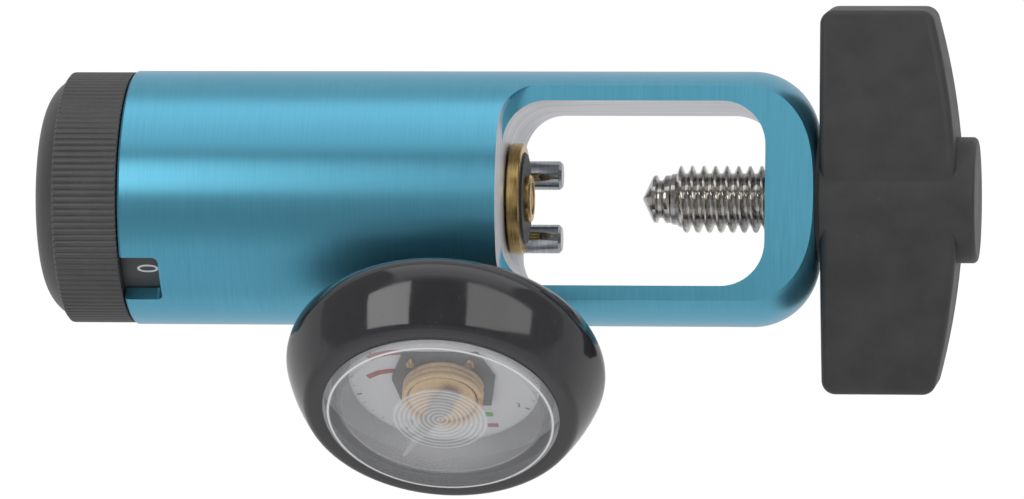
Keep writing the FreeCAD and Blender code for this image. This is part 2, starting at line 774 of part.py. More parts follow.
def index_pins():
    """Two pins pressed into the seat wall, in one node because they are alike."""
    body = new_body("index_pins")
    body.AllowCompound = True
    neck = S.pin_neck_length
    for name, start, diameter, length in (
            ("Shanks", -S.pin_depth, S.pin_shank_dia, S.pin_depth),
            ("Necks", 0, S.pin_neck_dia, neck),
            ("Pins", neck, S.pin_dia, S.pin_reach - neck)):
        section = new_sketch(body, "YZ_Plane", name + "Sections", start)
        for side in (1, -1):
            circle(section, side * pin_y(), -pin_z(), diameter / 2)
        padded(body, section, name, length)
    base = body.Tip
    tips = ["Edge%d" % (index + 1) for index, edge in enumerate(base.Shape.Edges)
            if edge.BoundBox.XMin > S.pin_reach.value - TOLERANCE]
    chamfer = body.newObject("PartDesign::Chamfer", "PinTips")
    chamfer.Base = (base, tips)
    bind(chamfer, "Size", S.pin_chamfer)
    finished(chamfer)
    return keep(body)


def inlet_nipple():
    body = new_body("inlet_nipple")
    bulge = S.edge_chamfer
    filter_floor = S.nose_length - S.filter_length - bulge
    turned(body, [
        (-S.nipple_depth, S.gas_bore / 2),
        (-S.nipple_depth, S.nipple_dia / 2),
        (0, S.nipple_dia / 2),
        (0, S.nose_dia / 2),
        (S.nose_length - S.edge_chamfer, S.nose_dia / 2),
        (S.nose_length, S.nose_dia / 2 - S.edge_chamfer),
        (S.nose_length, S.filter_dia / 2),
        (filter_floor, S.filter_dia / 2),
        (filter_floor, S.gas_bore / 2),
    ])
    drill = new_sketch(body, "XY_Plane", "GaugeDrill")
    circle(drill, -S.gauge_x, 0, S.gauge_gas_bore / 2)
    gauge_plane(drill, 0)
    pocketed(body, drill, "GaugeDrillCut", S.nipple_dia, along_normal=True)
    keep(body)
    disc = new_body("inlet_filter")
    turned(disc, [
        (filter_floor, 0),
        (filter_floor, S.filter_dia / 2),
        (filter_floor + S.filter_length, S.filter_dia / 2),
        (filter_floor + S.filter_length + bulge, 0, cap_radius(S.filter_dia / 2, bulge), 1),
    ])
    keep(disc)


def sealing_washer():
    """The brass ring and the elastomer core bonded in it."""
    ring = new_body("seal_ring")
    left = S.seal_proud
    right = S.seal_thick - S.seal_proud
    edge = S.edge_chamfer / 2
    core = S.seal_core_dia / 2
    turned(ring, [
        (left, core),
        (left, S.seal_dia / 2 - edge),
        (left + edge, S.seal_dia / 2),
        (right - edge, S.seal_dia / 2),
        (right, S.seal_dia / 2 - edge),
        (right, core),
    ])
    keep(ring)
    washer = new_body("seal_washer")
    turned(washer, [
        (0, S.nose_dia / 2),
        (0, core - S.edge_chamfer),
        (left, core),
        (right, core),
        (S.seal_thick, core - S.edge_chamfer),
        (S.seal_thick, S.nose_dia / 2),
    ])
    keep(washer)


# Pressure-reducing piston

def nozzle_insert():
    body = new_body("nozzle_insert")
    turned(body, [
        (nozzle_tip, S.nozzle_bore / 2),
        (nozzle_tip, S.nozzle_bore / 2 + S.edge_chamfer),
        (stem_end, S.nozzle_bore / 2 + S.edge_chamfer + S.nozzle_crown),
        (stem_end, S.nozzle_dia / 2),
        (-S.nipple_depth, S.nozzle_dia / 2),
        (-S.nipple_depth, S.nozzle_bore / 2),
    ])
    return keep(body)


def seal_groove(middle, wall, section):
    """Corners of an O-ring groove that opens outward at the given wall radius."""
    half = S.seal_groove_width / 2
    floor = wall - section - S.seal_slack
    return [(middle - half, wall), (middle - half, floor), (middle + half, floor),
            (middle + half, wall)]


def piston():
    body = new_body("piston")
    head = S.piston_dia / 2 - S.sliding_gap
    stem = stem_bore - S.sliding_gap
    bore = S.piston_bore / 2
    seat = S.piston_seat_dia / 2
    seat_back = seat_face - S.piston_seat_depth
    turned(body, [
        (housing_right, bore),
        (housing_right, head - S.edge_chamfer),
        (housing_right + S.edge_chamfer, head),
        (piston_right, head),
        (piston_right, stem),
        (seat_face, stem),
        (seat_face, seat),
        (seat_back, seat),
        (seat_back, bore),
    ])
    head_seal = housing_right + S.piston_thick / 2
    stem_seal = stem_end - S.stem_seal_setback
    grooved(body, seal_groove(head_seal, head, S.seal_section), "HeadGroove")
    grooved(body, seal_groove(stem_seal, stem, S.small_seal_section), "StemGroove")
    port = new_sketch(body, "XY_Plane", "CrossPort")
    circle(port, seat_back - S.piston_port_setback, 0, S.piston_port / 2)
    pocketed(body, port, "CrossPortCut", S.stem_dia * 2, both_ways=True)
    keep(body)
    disc = new_body("piston_seat")
    turned(disc, [
        (seat_back, 0),
        (seat_face, 0),
        (seat_face, seat),
        (seat_back, seat),
    ])
    keep(disc)
    ring_seal("piston_oring", head_seal, S.seal_section, S.piston_dia / 2 - S.seal_slack)
    ring_seal("stem_oring", stem_seal, S.small_seal_section, stem_bore - S.seal_slack)
    coil_spring("piston_spring", S.spring_wire, S.spring_mean_dia, S.spring_room - S.face_gap * 2,
                S.spring_turns,
                lambda coil: along_x(coil, shoulder - S.face_gap - S.spring_wire / 2))


# Flow selector

def flow_housing():
    """The fixed housing: recess for the disc, outlet port and groove, detent and spindle bores."""
    body = new_body("flow_housing")
    bore = S.spindle_dia / 2 + S.sliding_gap
    outer = S.housing_dia / 2
    half = S.groove_width / 2
    recess = S.disc_dia / 2 + S.face_gap * 6
    turned(body, [
        (drum_floor, bore),
        (drum_floor, outer),
        (groove_x - half, outer),
        (groove_x - half, outer - S.groove_depth),
        (groove_x + half, outer - S.groove_depth),
        (groove_x + half, outer),
        (housing_right, outer),
        (housing_right, recess),
        (recess_floor, recess),
        (recess_floor, bore),
    ])
    seal_x = housing_right - S.disc_room / 2
    grooved(body, seal_groove(seal_x, outer, S.seal_section), "HousingSealGroove")
    port = new_sketch(body, "YZ_Plane", "OutletPort", recess_floor)
    circle(port, 0, -S.orifice_circle, S.port_dia / 2)
    pocketed(body, port, "OutletPortCut", S.port_depth)
    seat = new_sketch(body, "YZ_Plane", "PortSealSeat", recess_floor)
    circle(seat, 0, -S.orifice_circle, S.port_dia / 2 + S.port_seal_section)
    pocketed(body, seat, "PortSealSeatCut", S.port_seal_section - S.disc_gap)
    cross = new_sketch(body, "XY_Plane", "CrossPort", -S.orifice_circle)
    circle(cross, groove_x, 0, S.port_dia / 2)
    pocketed(body, cross, "CrossPortCut", S.housing_dia)
    detent = new_sketch(body, "YZ_Plane", "DetentHole", recess_floor)
    circle(detent, 0, S.detent_circle, S.ball_dia / 2 + S.sliding_gap)
    pocketed(body, detent, "DetentHoleCut", S.detent_depth)
    keep(body)
    ring_seal("housing_oring", seal_x, S.seal_section, outer - S.seal_slack)
    port_oring()


def port_oring():
    """The O-ring round the outlet port; the orifice disc turns on it."""
    ring = doc.addObject("Part::Torus", "port_oring")
    ring.Label = "port_oring"
    section = S.port_seal_section - S.seal_slack
    bind(ring, "Radius1", S.port_dia / 2 + S.port_seal_section / 2)
    bind(ring, "Radius2", section / 2)
    along_x(ring, disc_left - S.seal_slack - section / 2, 0, -S.orifice_circle)
    return keep(ring)


def ball_centre():
    return recess_floor + S.ball_proud - S.ball_dia / 2


def orifice_disc():
    """The disc that the knob turns: metering holes, ball track and click dimples."""
    body = new_body("orifice_disc")
    ball = S.ball_dia / 2 + S.sliding_gap
    deep = ball_centre() + ball - disc_left
    half = root(ball * ball - (ball - deep) * (ball - deep))
    turned(body, [
        (disc_left, S.spindle_dia / 2),
        (disc_left, S.detent_circle - half),
        (disc_left, S.detent_circle + half, ball, -1),
        (disc_left, S.disc_dia / 2),
        (disc_right, S.disc_dia / 2),
        (disc_right, S.spindle_dia / 2),
    ])
    hole = new_sketch(body, "YZ_Plane", "MeteringHole", disc_left)
    step = 360.0 / S.orifice_count
    circle(hole, S.orifice_circle * sine(step), -S.orifice_circle * cosine(step),
           S.orifice_dia / 2)
    cut = pocketed(body, hole, "MeteringHoleCut", S.disc_thick, along_normal=True)
    before = body.Shape.Volume
    pattern = body.newObject("PartDesign::PolarPattern", "MeteringHoles")
    pattern.Originals = [cut]
    pattern.Axis = (hole, ["N_Axis"])
    pattern.Occurrences = int(S.orifice_count.value) - 1
    pattern.setExpression("Occurrences", (S.orifice_count - 1).text)
    pattern.Angle = 360 - 2 * step.value
    pattern.setExpression("Angle", (360 - 2 * step).text)
    body.Tip = pattern
    check_cut(body, pattern, before)
    dimple = new_sketch(body, "YZ_Plane", "Dimple", disc_left)
    circle(dimple, 0, S.detent_circle, S.ball_dia / 4)
    click = pocketed(body, dimple, "DimpleCut", deep + S.dimple_depth, along_normal=True)
    repeated_round(body, click, dimple, "N_Axis", S.orifice_count, "Dimples")
    return keep(body)


def detent():
    ball = doc.addObject("Part::Sphere", "detent_ball")
    ball.Label = "detent_ball"
    bind(ball, "Radius", S.ball_dia / 2)
    on_body_axis(ball, (ball_centre(), 0, S.detent_circle))
    keep(ball)
    length = S.detent_depth + S.ball_proud - S.ball_dia - S.face_gap * 2
    spring_start = recess_floor - S.detent_depth + S.face_gap + length - S.small_spring_wire / 2
    coil_spring("detent_spring", S.small_spring_wire,
                S.ball_dia - S.small_spring_wire - S.face_gap * 2, length,
                S.small_spring_turns,
                lambda coil: along_x(coil, spring_start, 0, S.detent_circle))


def selector_spindle():
    body = new_body("selector_spindle")
    radius = S.spindle_dia / 2
    clip_right = drum_floor - S.face_gap * 2
    clip_left = clip_right - S.clip_thick
    turned(body, [
        (spindle_left, 0),
        (spindle_left, radius - S.edge_chamfer),
        (spindle_left + S.edge_chamfer, radius),
        (clip_left, radius),
        (clip_left, S.clip_groove_dia / 2),
        (clip_right, S.clip_groove_dia / 2),
        (clip_right, radius),
        (disc_right, radius),
        (disc_right, 0),
    ])
    seal_x = drum_floor + S.spindle_seal_setback
    grooved(body, seal_groove(seal_x, radius, S.small_seal_section), "SpindleGroove")
    keep(body)
    ring_seal("spindle_oring", seal_x, S.small_seal_section,
              radius + S.sliding_gap - S.seal_slack)
    clip = new_body("spindle_clip")
    turned(clip, [
        (clip_left, S.clip_groove_dia / 2),
        (clip_left, S.clip_dia / 2),
        (clip_right, S.clip_dia / 2),
        (clip_right, S.clip_groove_dia / 2),
    ])
    mouth = new_sketch(clip, "YZ_Plane", "ClipMouth", clip_left)
    half = S.clip_gap_angle / 2
    outline(mouth, [
        (0, 0),
        (S.clip_dia * sine(half), -S.clip_dia * cosine(half)),
        (-S.clip_dia * sine(half), -S.clip_dia * cosine(half)),
    ])
    pocketed(clip, mouth, "ClipMouthCut", S.clip_thick, along_normal=True)
    keep(clip)


def selector_knob():
    """The moulded knob: ribbed grip, domed end, hub, and the drum that carries the numbers."""
    body = new_body("selector_knob")
    grip = bar - S.knob_step
    drum = drum_bore - S.drum_gap
    grip_end = knob_right - S.grip_length
    dome_edge = knob_left + S.dome_depth
    web = dome_edge + S.knob_end_wall
    bore_end = spindle_left - S.face_gap * 2
    drum_end = drum_floor - S.drum_end_gap
    inner = drum - S.knob_wall
    dome = S.dome_start_dia / 2
    turned(body, [
        (knob_left, 0, cap_radius(dome, S.dome_depth), -1),
        (bore_end, 0),
        (bore_end, S.spindle_dia / 2),
        (hub_end, S.spindle_dia / 2),
        (hub_end, S.knob_hub_dia / 2),
        (web, S.knob_hub_dia / 2),
        (web, dome),
        (web + S.knob_wall, inner),
        (drum_end, inner),
        (drum_end, drum - S.edge_chamfer),
        (drum_end - S.edge_chamfer, drum),
        (knob_right, drum),
        (knob_right, grip),
        (grip_end, grip),
        (grip_end - S.knob_chamfer, grip - S.knob_chamfer),
        (dome_edge, dome, S.shoulder_radius, -1),
    ])
    ribs(body, grip, grip_end)
    pip = new_sketch(body, "YZ_Plane", "Pip", dome_edge + S.pip_height)
    circle(pip, -S.pip_offset, 0, S.pip_dia / 2)
    padded(body, pip, "PipPad", S.dome_depth + S.pip_height * 2, backwards=True)
    return keep(body)


def ribs(body, grip, grip_end):
    """The fine grooves between the ribs, cut one by one round the grip."""
    start = grip_end + S.rib_land
    groove = new_sketch(body, "YZ_Plane", "RibGroove", start)
    half = math.pi * S.rib_groove_share * grip / S.rib_count
    mouth = half * (1 + S.rib_groove_slope)
    floor = half * (1 - S.rib_groove_slope)
    outline(groove, [
        (-mouth, grip + S.rib_land),
        (-floor, grip - S.rib_depth),
        (floor, grip - S.rib_depth),
        (mouth, grip + S.rib_land),
    ])
    cut = pocketed(body, groove, "RibGrooveCut", S.grip_length - 2 * S.rib_land,
                   along_normal=True)
    repeated_round(body, cut, groove, "N_Axis", S.rib_count, "Ribs")


def outlet_barb():
    """The hose barb, drawn about Z and screwed into the body from below."""
    body = new_body("outlet_barb")
    bore = S.barb_bore / 2
    neck = S.barb_neck_dia / 2
    ridge = S.barb_ridge_dia / 2
    top = -S.housing_dia / 2 - S.face_gap * 2
    hex_bottom = barb_top - S.barb_hex_length
    corners = [(bore, top), (S.barb_thread_dia / 2, top), (S.barb_thread_dia / 2, hex_bottom),
               (neck, hex_bottom)]
    z = hex_bottom - S.barb_collar_length
    corners.append((neck, z))
    for _ in range(int(S.barb_ridges.value)):
        corners.append((ridge, z))
        z = z - S.barb_ridge_length
        corners.append((neck, z))
    corners.append((neck, z - S.barb_nose_length))
    corners.append((bore, z - S.barb_nose_length))
    turned(body, corners, axis="V_Axis", plane="XZ_Plane")
    flats = new_sketch(body, "XY_Plane", "Hexagon", hex_bottom)
    hexagon(flats, S.barb_hex)
    circle(flats, 0, 0, bore)
    padded(body, flats, "HexagonPad", S.barb_hex_length)
    on_body_axis(body, (groove_x, 0, 0))
    return keep(body)


# Clamp screw and T-handle

def tee_screw():
    """The clamp screw, with its thread as plain grooves; its last stretch is in the handle."""
    body = new_body("tee_screw")
    collar = S.tip_collar_dia / 2
    neck = S.tip_neck_dia / 2
    lead = collar + S.tip_lead_rise
    crest = S.screw_dia / 2
    cone_end = S.tip_x + S.tip_cone
    collar_start = cone_end + S.tip_bevel
    collar_end = collar_start + S.tip_collar_length
    neck_start = collar_end + S.tip_bevel
    neck_end = neck_start + S.tip_neck_length
    land_start = neck_end + S.tip_bevel
    land_end = land_start + S.tip_land_length
    lead_start = land_end + S.tip_bevel
    turned(body, [
        (S.tip_x, 0),
        (cone_end, S.tip_cone_dia / 2),
        (collar_start, collar),
        (collar_end, collar),
        (neck_start, neck),
        (neck_end, neck),
        (land_start, collar),
        (land_end, collar),
        (lead_start, lead),
        (lead_start + S.tip_lead_length, lead),
        (screw_start, crest),
        (handle_left + S.screw_in_handle, crest),
        (handle_left + S.screw_in_handle, 0),
    ])
    floor = S.screw_root_dia / 2
    half = S.thread_pitch * 0.42
    first = screw_start + S.thread_pitch * 0.75
    flank = S.thread_pitch * 0.12
    thread = grooved(body, [
        (first - half, crest),
        (first - flank, floor),
        (first + flank, floor),
        (first + half, crest),
    ], "Thread")
    count = int((washer_left.value - first.value) / S.thread_pitch.value)
    before = body.Shape.Volume
    pattern = body.newObject("PartDesign::LinearPattern", "Threads")
    pattern.Originals = [thread]
    pattern.Direction = (thread.Profile[0], ["H_Axis"])
    pattern.Occurrences = count
    bind(pattern, "Length", S.thread_pitch * (count - 1))
    body.Tip = pattern
    check_cut(body, pattern, before)
    on_body_axis(body, (0, 0, 0), (1, 0, 0), S.handle_turn)
    return keep(body)


def thrust_washer():
    body = new_body("thrust_washer")
    turned(body, [
        (washer_left, screw_hole),
        (washer_left, S.washer_dia / 2),
        (washer_left + S.washer_thick, S.washer_dia / 2),
        (washer_left + S.washer_thick, screw_hole),
    ])
    return keep(body)


def tee_handle():
    """The moulded T-handle: a plan outline, crowned flanks, rounded edges and the hub."""
    body = new_body("tee_handle")
    half_span = S.handle_span / 2
    curve = S.handle_back_radius
    tip_x = handle_left + S.handle_depth - curve + root(curve * curve - half_span * half_span)
    plan = new_sketch(body, "XY_Plane", "Plan")
    outline(plan, [
        (handle_left, -half_span),
        (tip_x, -half_span),
        (tip_x, half_span, curve, -1),
        (handle_left, half_span),
    ])
    padded(body, plan, "PlanPad", S.handle_thick, both_ways=True)
    rounded(body, S.handle_corner, is_upright_edge, "Corners")
    crown_flanks(body, half_span)
    rounded(body, S.handle_edge, is_flank_edge, "LongEdges")
    end = new_sketch(body, "YZ_Plane", "HubOutline", handle_left)
    circle(end, 0, 0, S.hub_dia / 2)
    padded(body, end, "Hub", S.hub_length)
    hub_end = handle_left + S.hub_length
    rounded(body, S.hub_edge,
            lambda edge: edge.BoundBox.XMin > hub_end.value - TOLERANCE, "HubEnd")
    bore = new_sketch(body, "YZ_Plane", "ScrewBore", handle_left)
    circle(bore, 0, 0, S.screw_dia / 2)
    pocketed(body, bore, "ScrewBoreCut", S.screw_in_handle, along_normal=True)
    on_body_axis(body, (0, 0, 0), (1, 0, 0), S.handle_turn)
    return keep(body)


def crown_flanks(body, half_span):
    """Cuts both flanks to a shallow crown, so that the wings thin towards their tips."""
    crown = S.handle_crown_radius
    top = S.handle_thick / 2
    reach = half_span + OVERRUN
    edge = top - crown + root(crown * crown - reach * reach)
    for side, name in ((1, "UpperFlank"), (-1, "LowerFlank")):
        flank = new_sketch(body, "YZ_Plane", name, handle_left)
        outline(flank, [
            (-reach, side * edge),
            (reach, side * edge, crown, side),
            (reach, side * (top + OVERRUN)),
            (-reach, side * (top + OVERRUN)),
        ])
        pocketed(body, flank, name + "Cut", S.handle_depth, along_normal=True)


def is_upright_edge(edge):
    box = edge.BoundBox
    return box.ZMin < -1.0 and box.ZMax > 1.0


def is_flank_edge(edge):
    """The long edges between the crowned flanks and the rest of the handle."""
    box = edge.BoundBox
    return box.ZMin > 1.0 or box.ZMax < -1.0


# Contents gauge, drawn about X with x as the height over the body's axis

def on_gauge(body):
    on_gauge_axis(body)
    return keep(body)


def gauge_stem():
    body = new_body("gauge_stem")
    bore = S.gauge_gas_bore / 2
    thread = S.gauge_port_dia / 2
    neck = S.gauge_neck_dia / 2
    socket = S.socket_dia / 2
    pivot = S.pivot_dia / 2
    thread_end = root(bar * bar - thread * thread)
    turned(body, [
        (S.gauge_port_floor, bore),
        (S.gauge_port_floor, thread),
        (thread_end, thread),
        (thread_end, neck),
        (dial_back, neck),
        (dial_back, socket),
        (plate_front, socket),
        (plate_front, pivot),
        (pivot_end, pivot),
        (pivot_end, 0),
        (dial_back, 0),
        (dial_back, bore),
    ])
    flats = new_sketch(body, "YZ_Plane", "Hexagon", hex_start)
    hexagon(flats, S.gauge_hex)
    circle(flats, 0, 0, neck - S.edge_chamfer)
    padded(body, flats, "HexagonPad", S.gauge_hex_length)
    return on_gauge(body)


def gauge_case():
    body = new_body("gauge_case")
    outer = S.case_dia / 2
    wall = S.case_wall
    turned(body, [
        (case_back, S.gauge_neck_dia / 2),
        (case_back, S.case_back_dia / 2),
        (case_back + S.case_cone, outer),
        (lens_seat, outer),
        (lens_seat, outer - wall),
        (case_back + S.case_cone + wall / 2, outer - wall),
        (case_back + wall, S.case_back_dia / 2 - wall / 3),
        (case_back + wall, S.gauge_neck_dia / 2),
    ])
    return on_gauge(body)


def boot_round(offset):
    """Radius of the boot at a distance along the gauge axis from its widest circle."""
    radius = S.boot_round_radius
    return S.boot_dia / 2 - radius + root(radius * radius - offset * offset)


def gauge_boot():
    body = new_body("gauge_boot")
    lip_hole = S.lens_dia / 2
    cavity = S.case_dia / 2
    lip = boot_front - S.boot_lip
    widest = boot_back + S.boot_wide_rise
    behind = S.boot_round_behind
    ahead = S.boot_round_ahead
    turned(body, [
        (boot_back, S.gauge_neck_dia / 2),
        (boot_back, S.boot_back_dia / 2),
        (widest - behind, boot_round(behind), S.boot_back_radius, 1),
        (widest + ahead, boot_round(ahead), S.boot_round_radius, 1),
        (boot_back + S.boot_cone_rise, S.boot_cone_dia / 2, S.boot_belly_radius, 1),
        (boot_front, S.boot_front_dia / 2, S.boot_edge_radius, 1),
        (boot_front, lip_hole),
        (lip, lip_hole),
        (lip, cavity),
        (case_back + S.case_cone, cavity),
        (case_back, S.case_back_dia / 2),
        (case_back, S.gauge_neck_dia / 2),
    ])
    return on_gauge(body)


def gauge_lens():
    """The clear lens: flange, wall, rounded rim and the moulded rings of its centre."""
    body = new_body("gauge_lens")
    outer = S.lens_dia / 2
    inner = outer - S.lens_wall
    flange = S.case_dia / 2 - S.lens_flange_gap
    front = lens_front
    ring = S.ring_disc_dia / 2
    corners = [
        (lens_seat, inner),
        (lens_seat, flange),
        (lens_seat + S.lens_flange, flange),
        (lens_seat + S.lens_flange, outer),
        (front - S.lens_round, outer),
        (front, outer - S.lens_round, S.lens_round, 1),
        (front, ring),
    ]
    count = int(S.ring_count.value)
    pitch = ring / S.ring_count
    for index in range(count - 1):
        radius = ring - pitch * index
        corners.append((front - S.ring_depth, radius - pitch * 0.5))
        corners.append((front, radius - pitch))
    corners.append((front, 0))
    corners.append((front - S.lens_wall, 0))
    corners.append((front - S.lens_wall, inner))
    turned(body, corners)
    return on_gauge(body)


def gauge_dial():
    body = new_body("gauge_dial")
    edge = S.case_dia / 2 - S.case_wall - S.dial_gap
    turned(body, [
        (dial_back, S.socket_dia / 2),
        (dial_back, edge),
        (plate_back, edge),
        (plate_back, S.socket_dia / 2),
    ])
    return on_gauge(body)


def coil_bracket():
    """The dark plate under the coil, with its two brass screws.

    A sketch on the YZ plane of a gauge piece has its first axis towards the top of the dial and
    its second axis towards -X of the regulator.
    """
    body = new_body("coil_bracket")
    head = S.bracket_head_width / 2
    half = S.bracket_width / 2
    tail = S.bracket_tail_width / 2
    plate = new_sketch(body, "YZ_Plane", "Plate", plate_back)
    outline(plate, [
        (S.bracket_head, -head),
        (S.bracket_head, head),
        (S.bracket_shoulder, half),
        (-S.bracket_tail, tail),
        (-S.bracket_tail, -tail),
        (S.bracket_shoulder, -half),
    ])
    circle(plate, 0, 0, S.socket_dia / 2)
    padded(body, plate, "PlatePad", S.bracket_thick)
    on_gauge(body)
    screws = new_body("bracket_screws")
    screws.AllowCompound = True
    heads = new_sketch(screws, "YZ_Plane", "ScrewHeads", plate_front)
    for side in (1, -1):
        circle(heads, S.bracket_screw_offset, side * S.bracket_screw_span / 2,
               S.bracket_screw_dia / 2)
    padded(screws, heads, "ScrewHeadPads", S.bracket_thick)
    on_gauge(screws)


def bourdon_coil():
    base = coil_back + S.coil_tube / 2

    def place(coil):
        lean = turn_text((1, 0, 0), S.gauge_lean)
        position = (-S.gauge_x, -base * sine(S.gauge_lean), base * cosine(S.gauge_lean))
        coil.setExpression("Placement", place_text(position, lean))

    coil_spring("bourdon_coil", S.coil_tube, S.coil_dia - S.coil_tube, coil_length,
                S.coil_turns, place)


def gauge_pointer():
    """The pointer, which turns on the stem's pivot; at rest it stands at the scale's zero."""
    body = new_body("gauge_pointer")
    bore = S.pivot_dia / 2 + S.sliding_gap
    hub = S.pointer_hub_dia / 2
    hub_back = pointer_back - S.pointer_hub_drop
    hub_front = pointer_back + S.pointer_thick + S.pointer_hub_rise
    turned(body, [
        (hub_back, bore),
        (hub_back, hub),
        (hub_front, hub),
        (hub_front, 0),
        (pivot_end + S.face_gap, 0),
        (pivot_end + S.face_gap, bore),
    ])
    blade = new_sketch(body, "YZ_Plane", "Blade", pointer_back)
    half = S.pointer_width / 2
    turn = S.pointer_rest
    tip = S.pointer_tip_width / 2
    corners = []
    for along, across in ((S.pointer_length, tip), (bore, half), (-S.pointer_tail, half),
                          (-S.pointer_tail, -half), (bore, -half), (S.pointer_length, -tip)):
        corners.append((along * cosine(turn) - across * sine(turn),
                        along * sine(turn) + across * cosine(turn)))
    outline(blade, corners)
    circle(blade, 0, 0, hub - S.edge_chamfer)
    padded(body, blade, "BladePad", S.pointer_thick)
    return on_gauge(body)


def build():
    yoke_body()
    index_pins()
    inlet_nipple()
    sealing_washer()
    nozzle_insert()
    piston()
    flow_housing()
    orifice_disc()
    detent()
    selector_spindle()
    selector_knob()
    outlet_barb()
    tee_screw()
    thrust_washer()
    tee_handle()
    gauge_stem()
    gauge_case()
    gauge_boot()
    gauge_lens()
    gauge_dial()
    coil_bracket()
    bourdon_coil()
    gauge_pointer()


def check_and_write():
    """Checks every object and every piece before anything is written."""
    doc.recompute()
    for thing in doc.Objects:
        if "Invalid" in thing.State or "Error" in thing.State:
            raise RuntimeError("%s failed" % thing.Label)
    for piece in pieces:
        if piece.Shape.isNull() or not piece.Shape.isValid() or not piece.Shape.Solids:
            raise RuntimeError("%s has no sound shape" % piece.Label)
    os.makedirs("parts", exist_ok=True)
    for piece in pieces:
        piece.Shape.exportStep(os.path.join("parts", piece.Label + ".step"))


build()
check_and_write()
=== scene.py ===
import math

import bpy
from mathutils import Matrix, Vector


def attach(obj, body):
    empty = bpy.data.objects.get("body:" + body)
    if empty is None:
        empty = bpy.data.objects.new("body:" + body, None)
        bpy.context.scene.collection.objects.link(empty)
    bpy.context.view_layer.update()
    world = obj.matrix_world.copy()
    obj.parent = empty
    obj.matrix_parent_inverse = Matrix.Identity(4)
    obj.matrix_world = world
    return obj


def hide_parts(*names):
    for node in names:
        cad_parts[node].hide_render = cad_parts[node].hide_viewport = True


# Looks of the oxygen regulator. Lengths are in millimetres in the row frame and are turned into
# metres where a mesh is made. +X runs towards the T-handle, +Z towards the camera.

MM = 0.001

# The yoke opening's bare walls lie inside these bounds.
OPENING_X = (-0.12, 36.02)
OPENING_Y = (-12.68, 12.68)

# The gauge leans from overhead towards -Y, and its heights run from the body's axis.
LEAN = math.radians(55.6)
GAUGE_X = -6.35
DIAL_FACE = 31.63
LENS_SEAT = 34.6
LENS_FRONT = 38.3
LENS_BORE = 16.04
LENS_RINGS = 10
LENS_RING_REACH = 6.5
LENS_RING_STEP = LENS_RING_REACH / LENS_RINGS
# Painted highlights on the lens: a whitish band on the rounded rim and a white line along the top
# of the front edge.
LENS_RIM_HIGHLIGHT = (14.3, 14.9)
LENS_RIM_HIGHLIGHT_HEIGHT = (36.6, 37.4)
LENS_HIGHLIGHT_LINE = (15.0, 15.5)
# Painted shade on the lens: a grey band on its inner skirt.
LENS_SKIRT_SHADE_HEIGHT = (36.3, 36.6)
LENS_SKIRT_SHADE_REACH = (15.0, 15.2)
CLEAR_TINT = (0.88, 0.89, 0.90)
# Grey of the painted shade on the lens skirt.
SKIRT_SHADE = (0.34, 0.345, 0.35)

# The selector knob and the numbers that its drum shows in the body's window.
RIBS = 120
RIB_SEGMENTS = 6
RIB_DEPTH = 0.22
GRIP_RADIUS = 17.0
GRIP = (-60.55, -52.0)
FLOW_NUMBERS = ("0", ".25", ".5", ".75", "1", "1.5", "2", "2.5", "3", "4", "5", "6")
WINDOW_ANGLE = 134.5
CLICK_STEP = 30
NUMBER_X = -48.15
NUMBER_RADIUS = 15.235
NUMBER_SIZE = 4.26
NUMBER_NARROWING = 0.72

# The clamp screw's thread.
PITCH = 1.5875
CREST = 4.58
ROOT = 3.57
THREAD = (23.5, 41.9)
STEPS_PER_PITCH = 14
CREST_SHARE = 0.24
FLANK_SHARE = 0.56

# The printed scale of the dial, in degrees from +X, counterclockwise.
SCALE_ZERO = 240.0
SCALE_SWEEP = -270.0
SCALE_PARTS = 30
FIGURES = ("0", "1", "2", "3")
FIGURE_RADIUS = 11.0
FIGURE_SIZE = 1.3
TICK_END = 12.7

FLOOR_HALF = 2200.0
FLOOR_HEIGHT = -150.0

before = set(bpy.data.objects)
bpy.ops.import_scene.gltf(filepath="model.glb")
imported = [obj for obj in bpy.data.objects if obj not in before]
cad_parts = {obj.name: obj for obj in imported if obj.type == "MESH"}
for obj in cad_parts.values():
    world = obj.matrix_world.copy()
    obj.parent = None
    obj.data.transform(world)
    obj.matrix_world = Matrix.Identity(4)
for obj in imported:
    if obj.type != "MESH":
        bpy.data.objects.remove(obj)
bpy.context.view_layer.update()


# Meshes

def new_object(name, vertices, faces, material, sharp=35.0):
    """A mesh object from points in millimetres, smooth but for edges sharper than the angle."""
    mesh = bpy.data.meshes.new(name)
    mesh.from_pydata([tuple(c * MM for c in v) for v in vertices], [], faces)
    mesh.validate()
    for polygon in mesh.polygons:
        polygon.use_smooth = True
    mesh.set_sharp_from_angle(angle=math.radians(sharp))
    mesh.materials.append(material)
    thing = bpy.data.objects.new(name, mesh)
    bpy.context.scene.collection.objects.link(thing)
    return thing


def body_place(x, radius, angle):
    """A point about the body's axis; the angle runs from +Y towards +Z."""
    return (x, radius * math.cos(angle), radius * math.sin(angle))


def gauge_place(height, radius, angle):
    """A point about the gauge axis; the angle runs from +X towards the top of the dial."""
    return on_dial(radius * math.cos(angle), radius * math.sin(angle), height)


def on_dial(right, up, height):
    return (GAUGE_X + right,
            up * math.cos(LEAN) - height * math.sin(LEAN),
            up * math.sin(LEAN) + height * math.cos(LEAN))


def grid_faces(rows, columns, close_rows=False):
    """Quads of a grid whose columns run round; the rows may close too."""
    faces = []
    for row in range(rows if close_rows else rows - 1):
        below = row * columns
        above = (row + 1) % rows * columns
        for column in range(columns):
            after = (column + 1) % columns
            faces.append((below + column, below + after, above + after, above + column))
    return faces


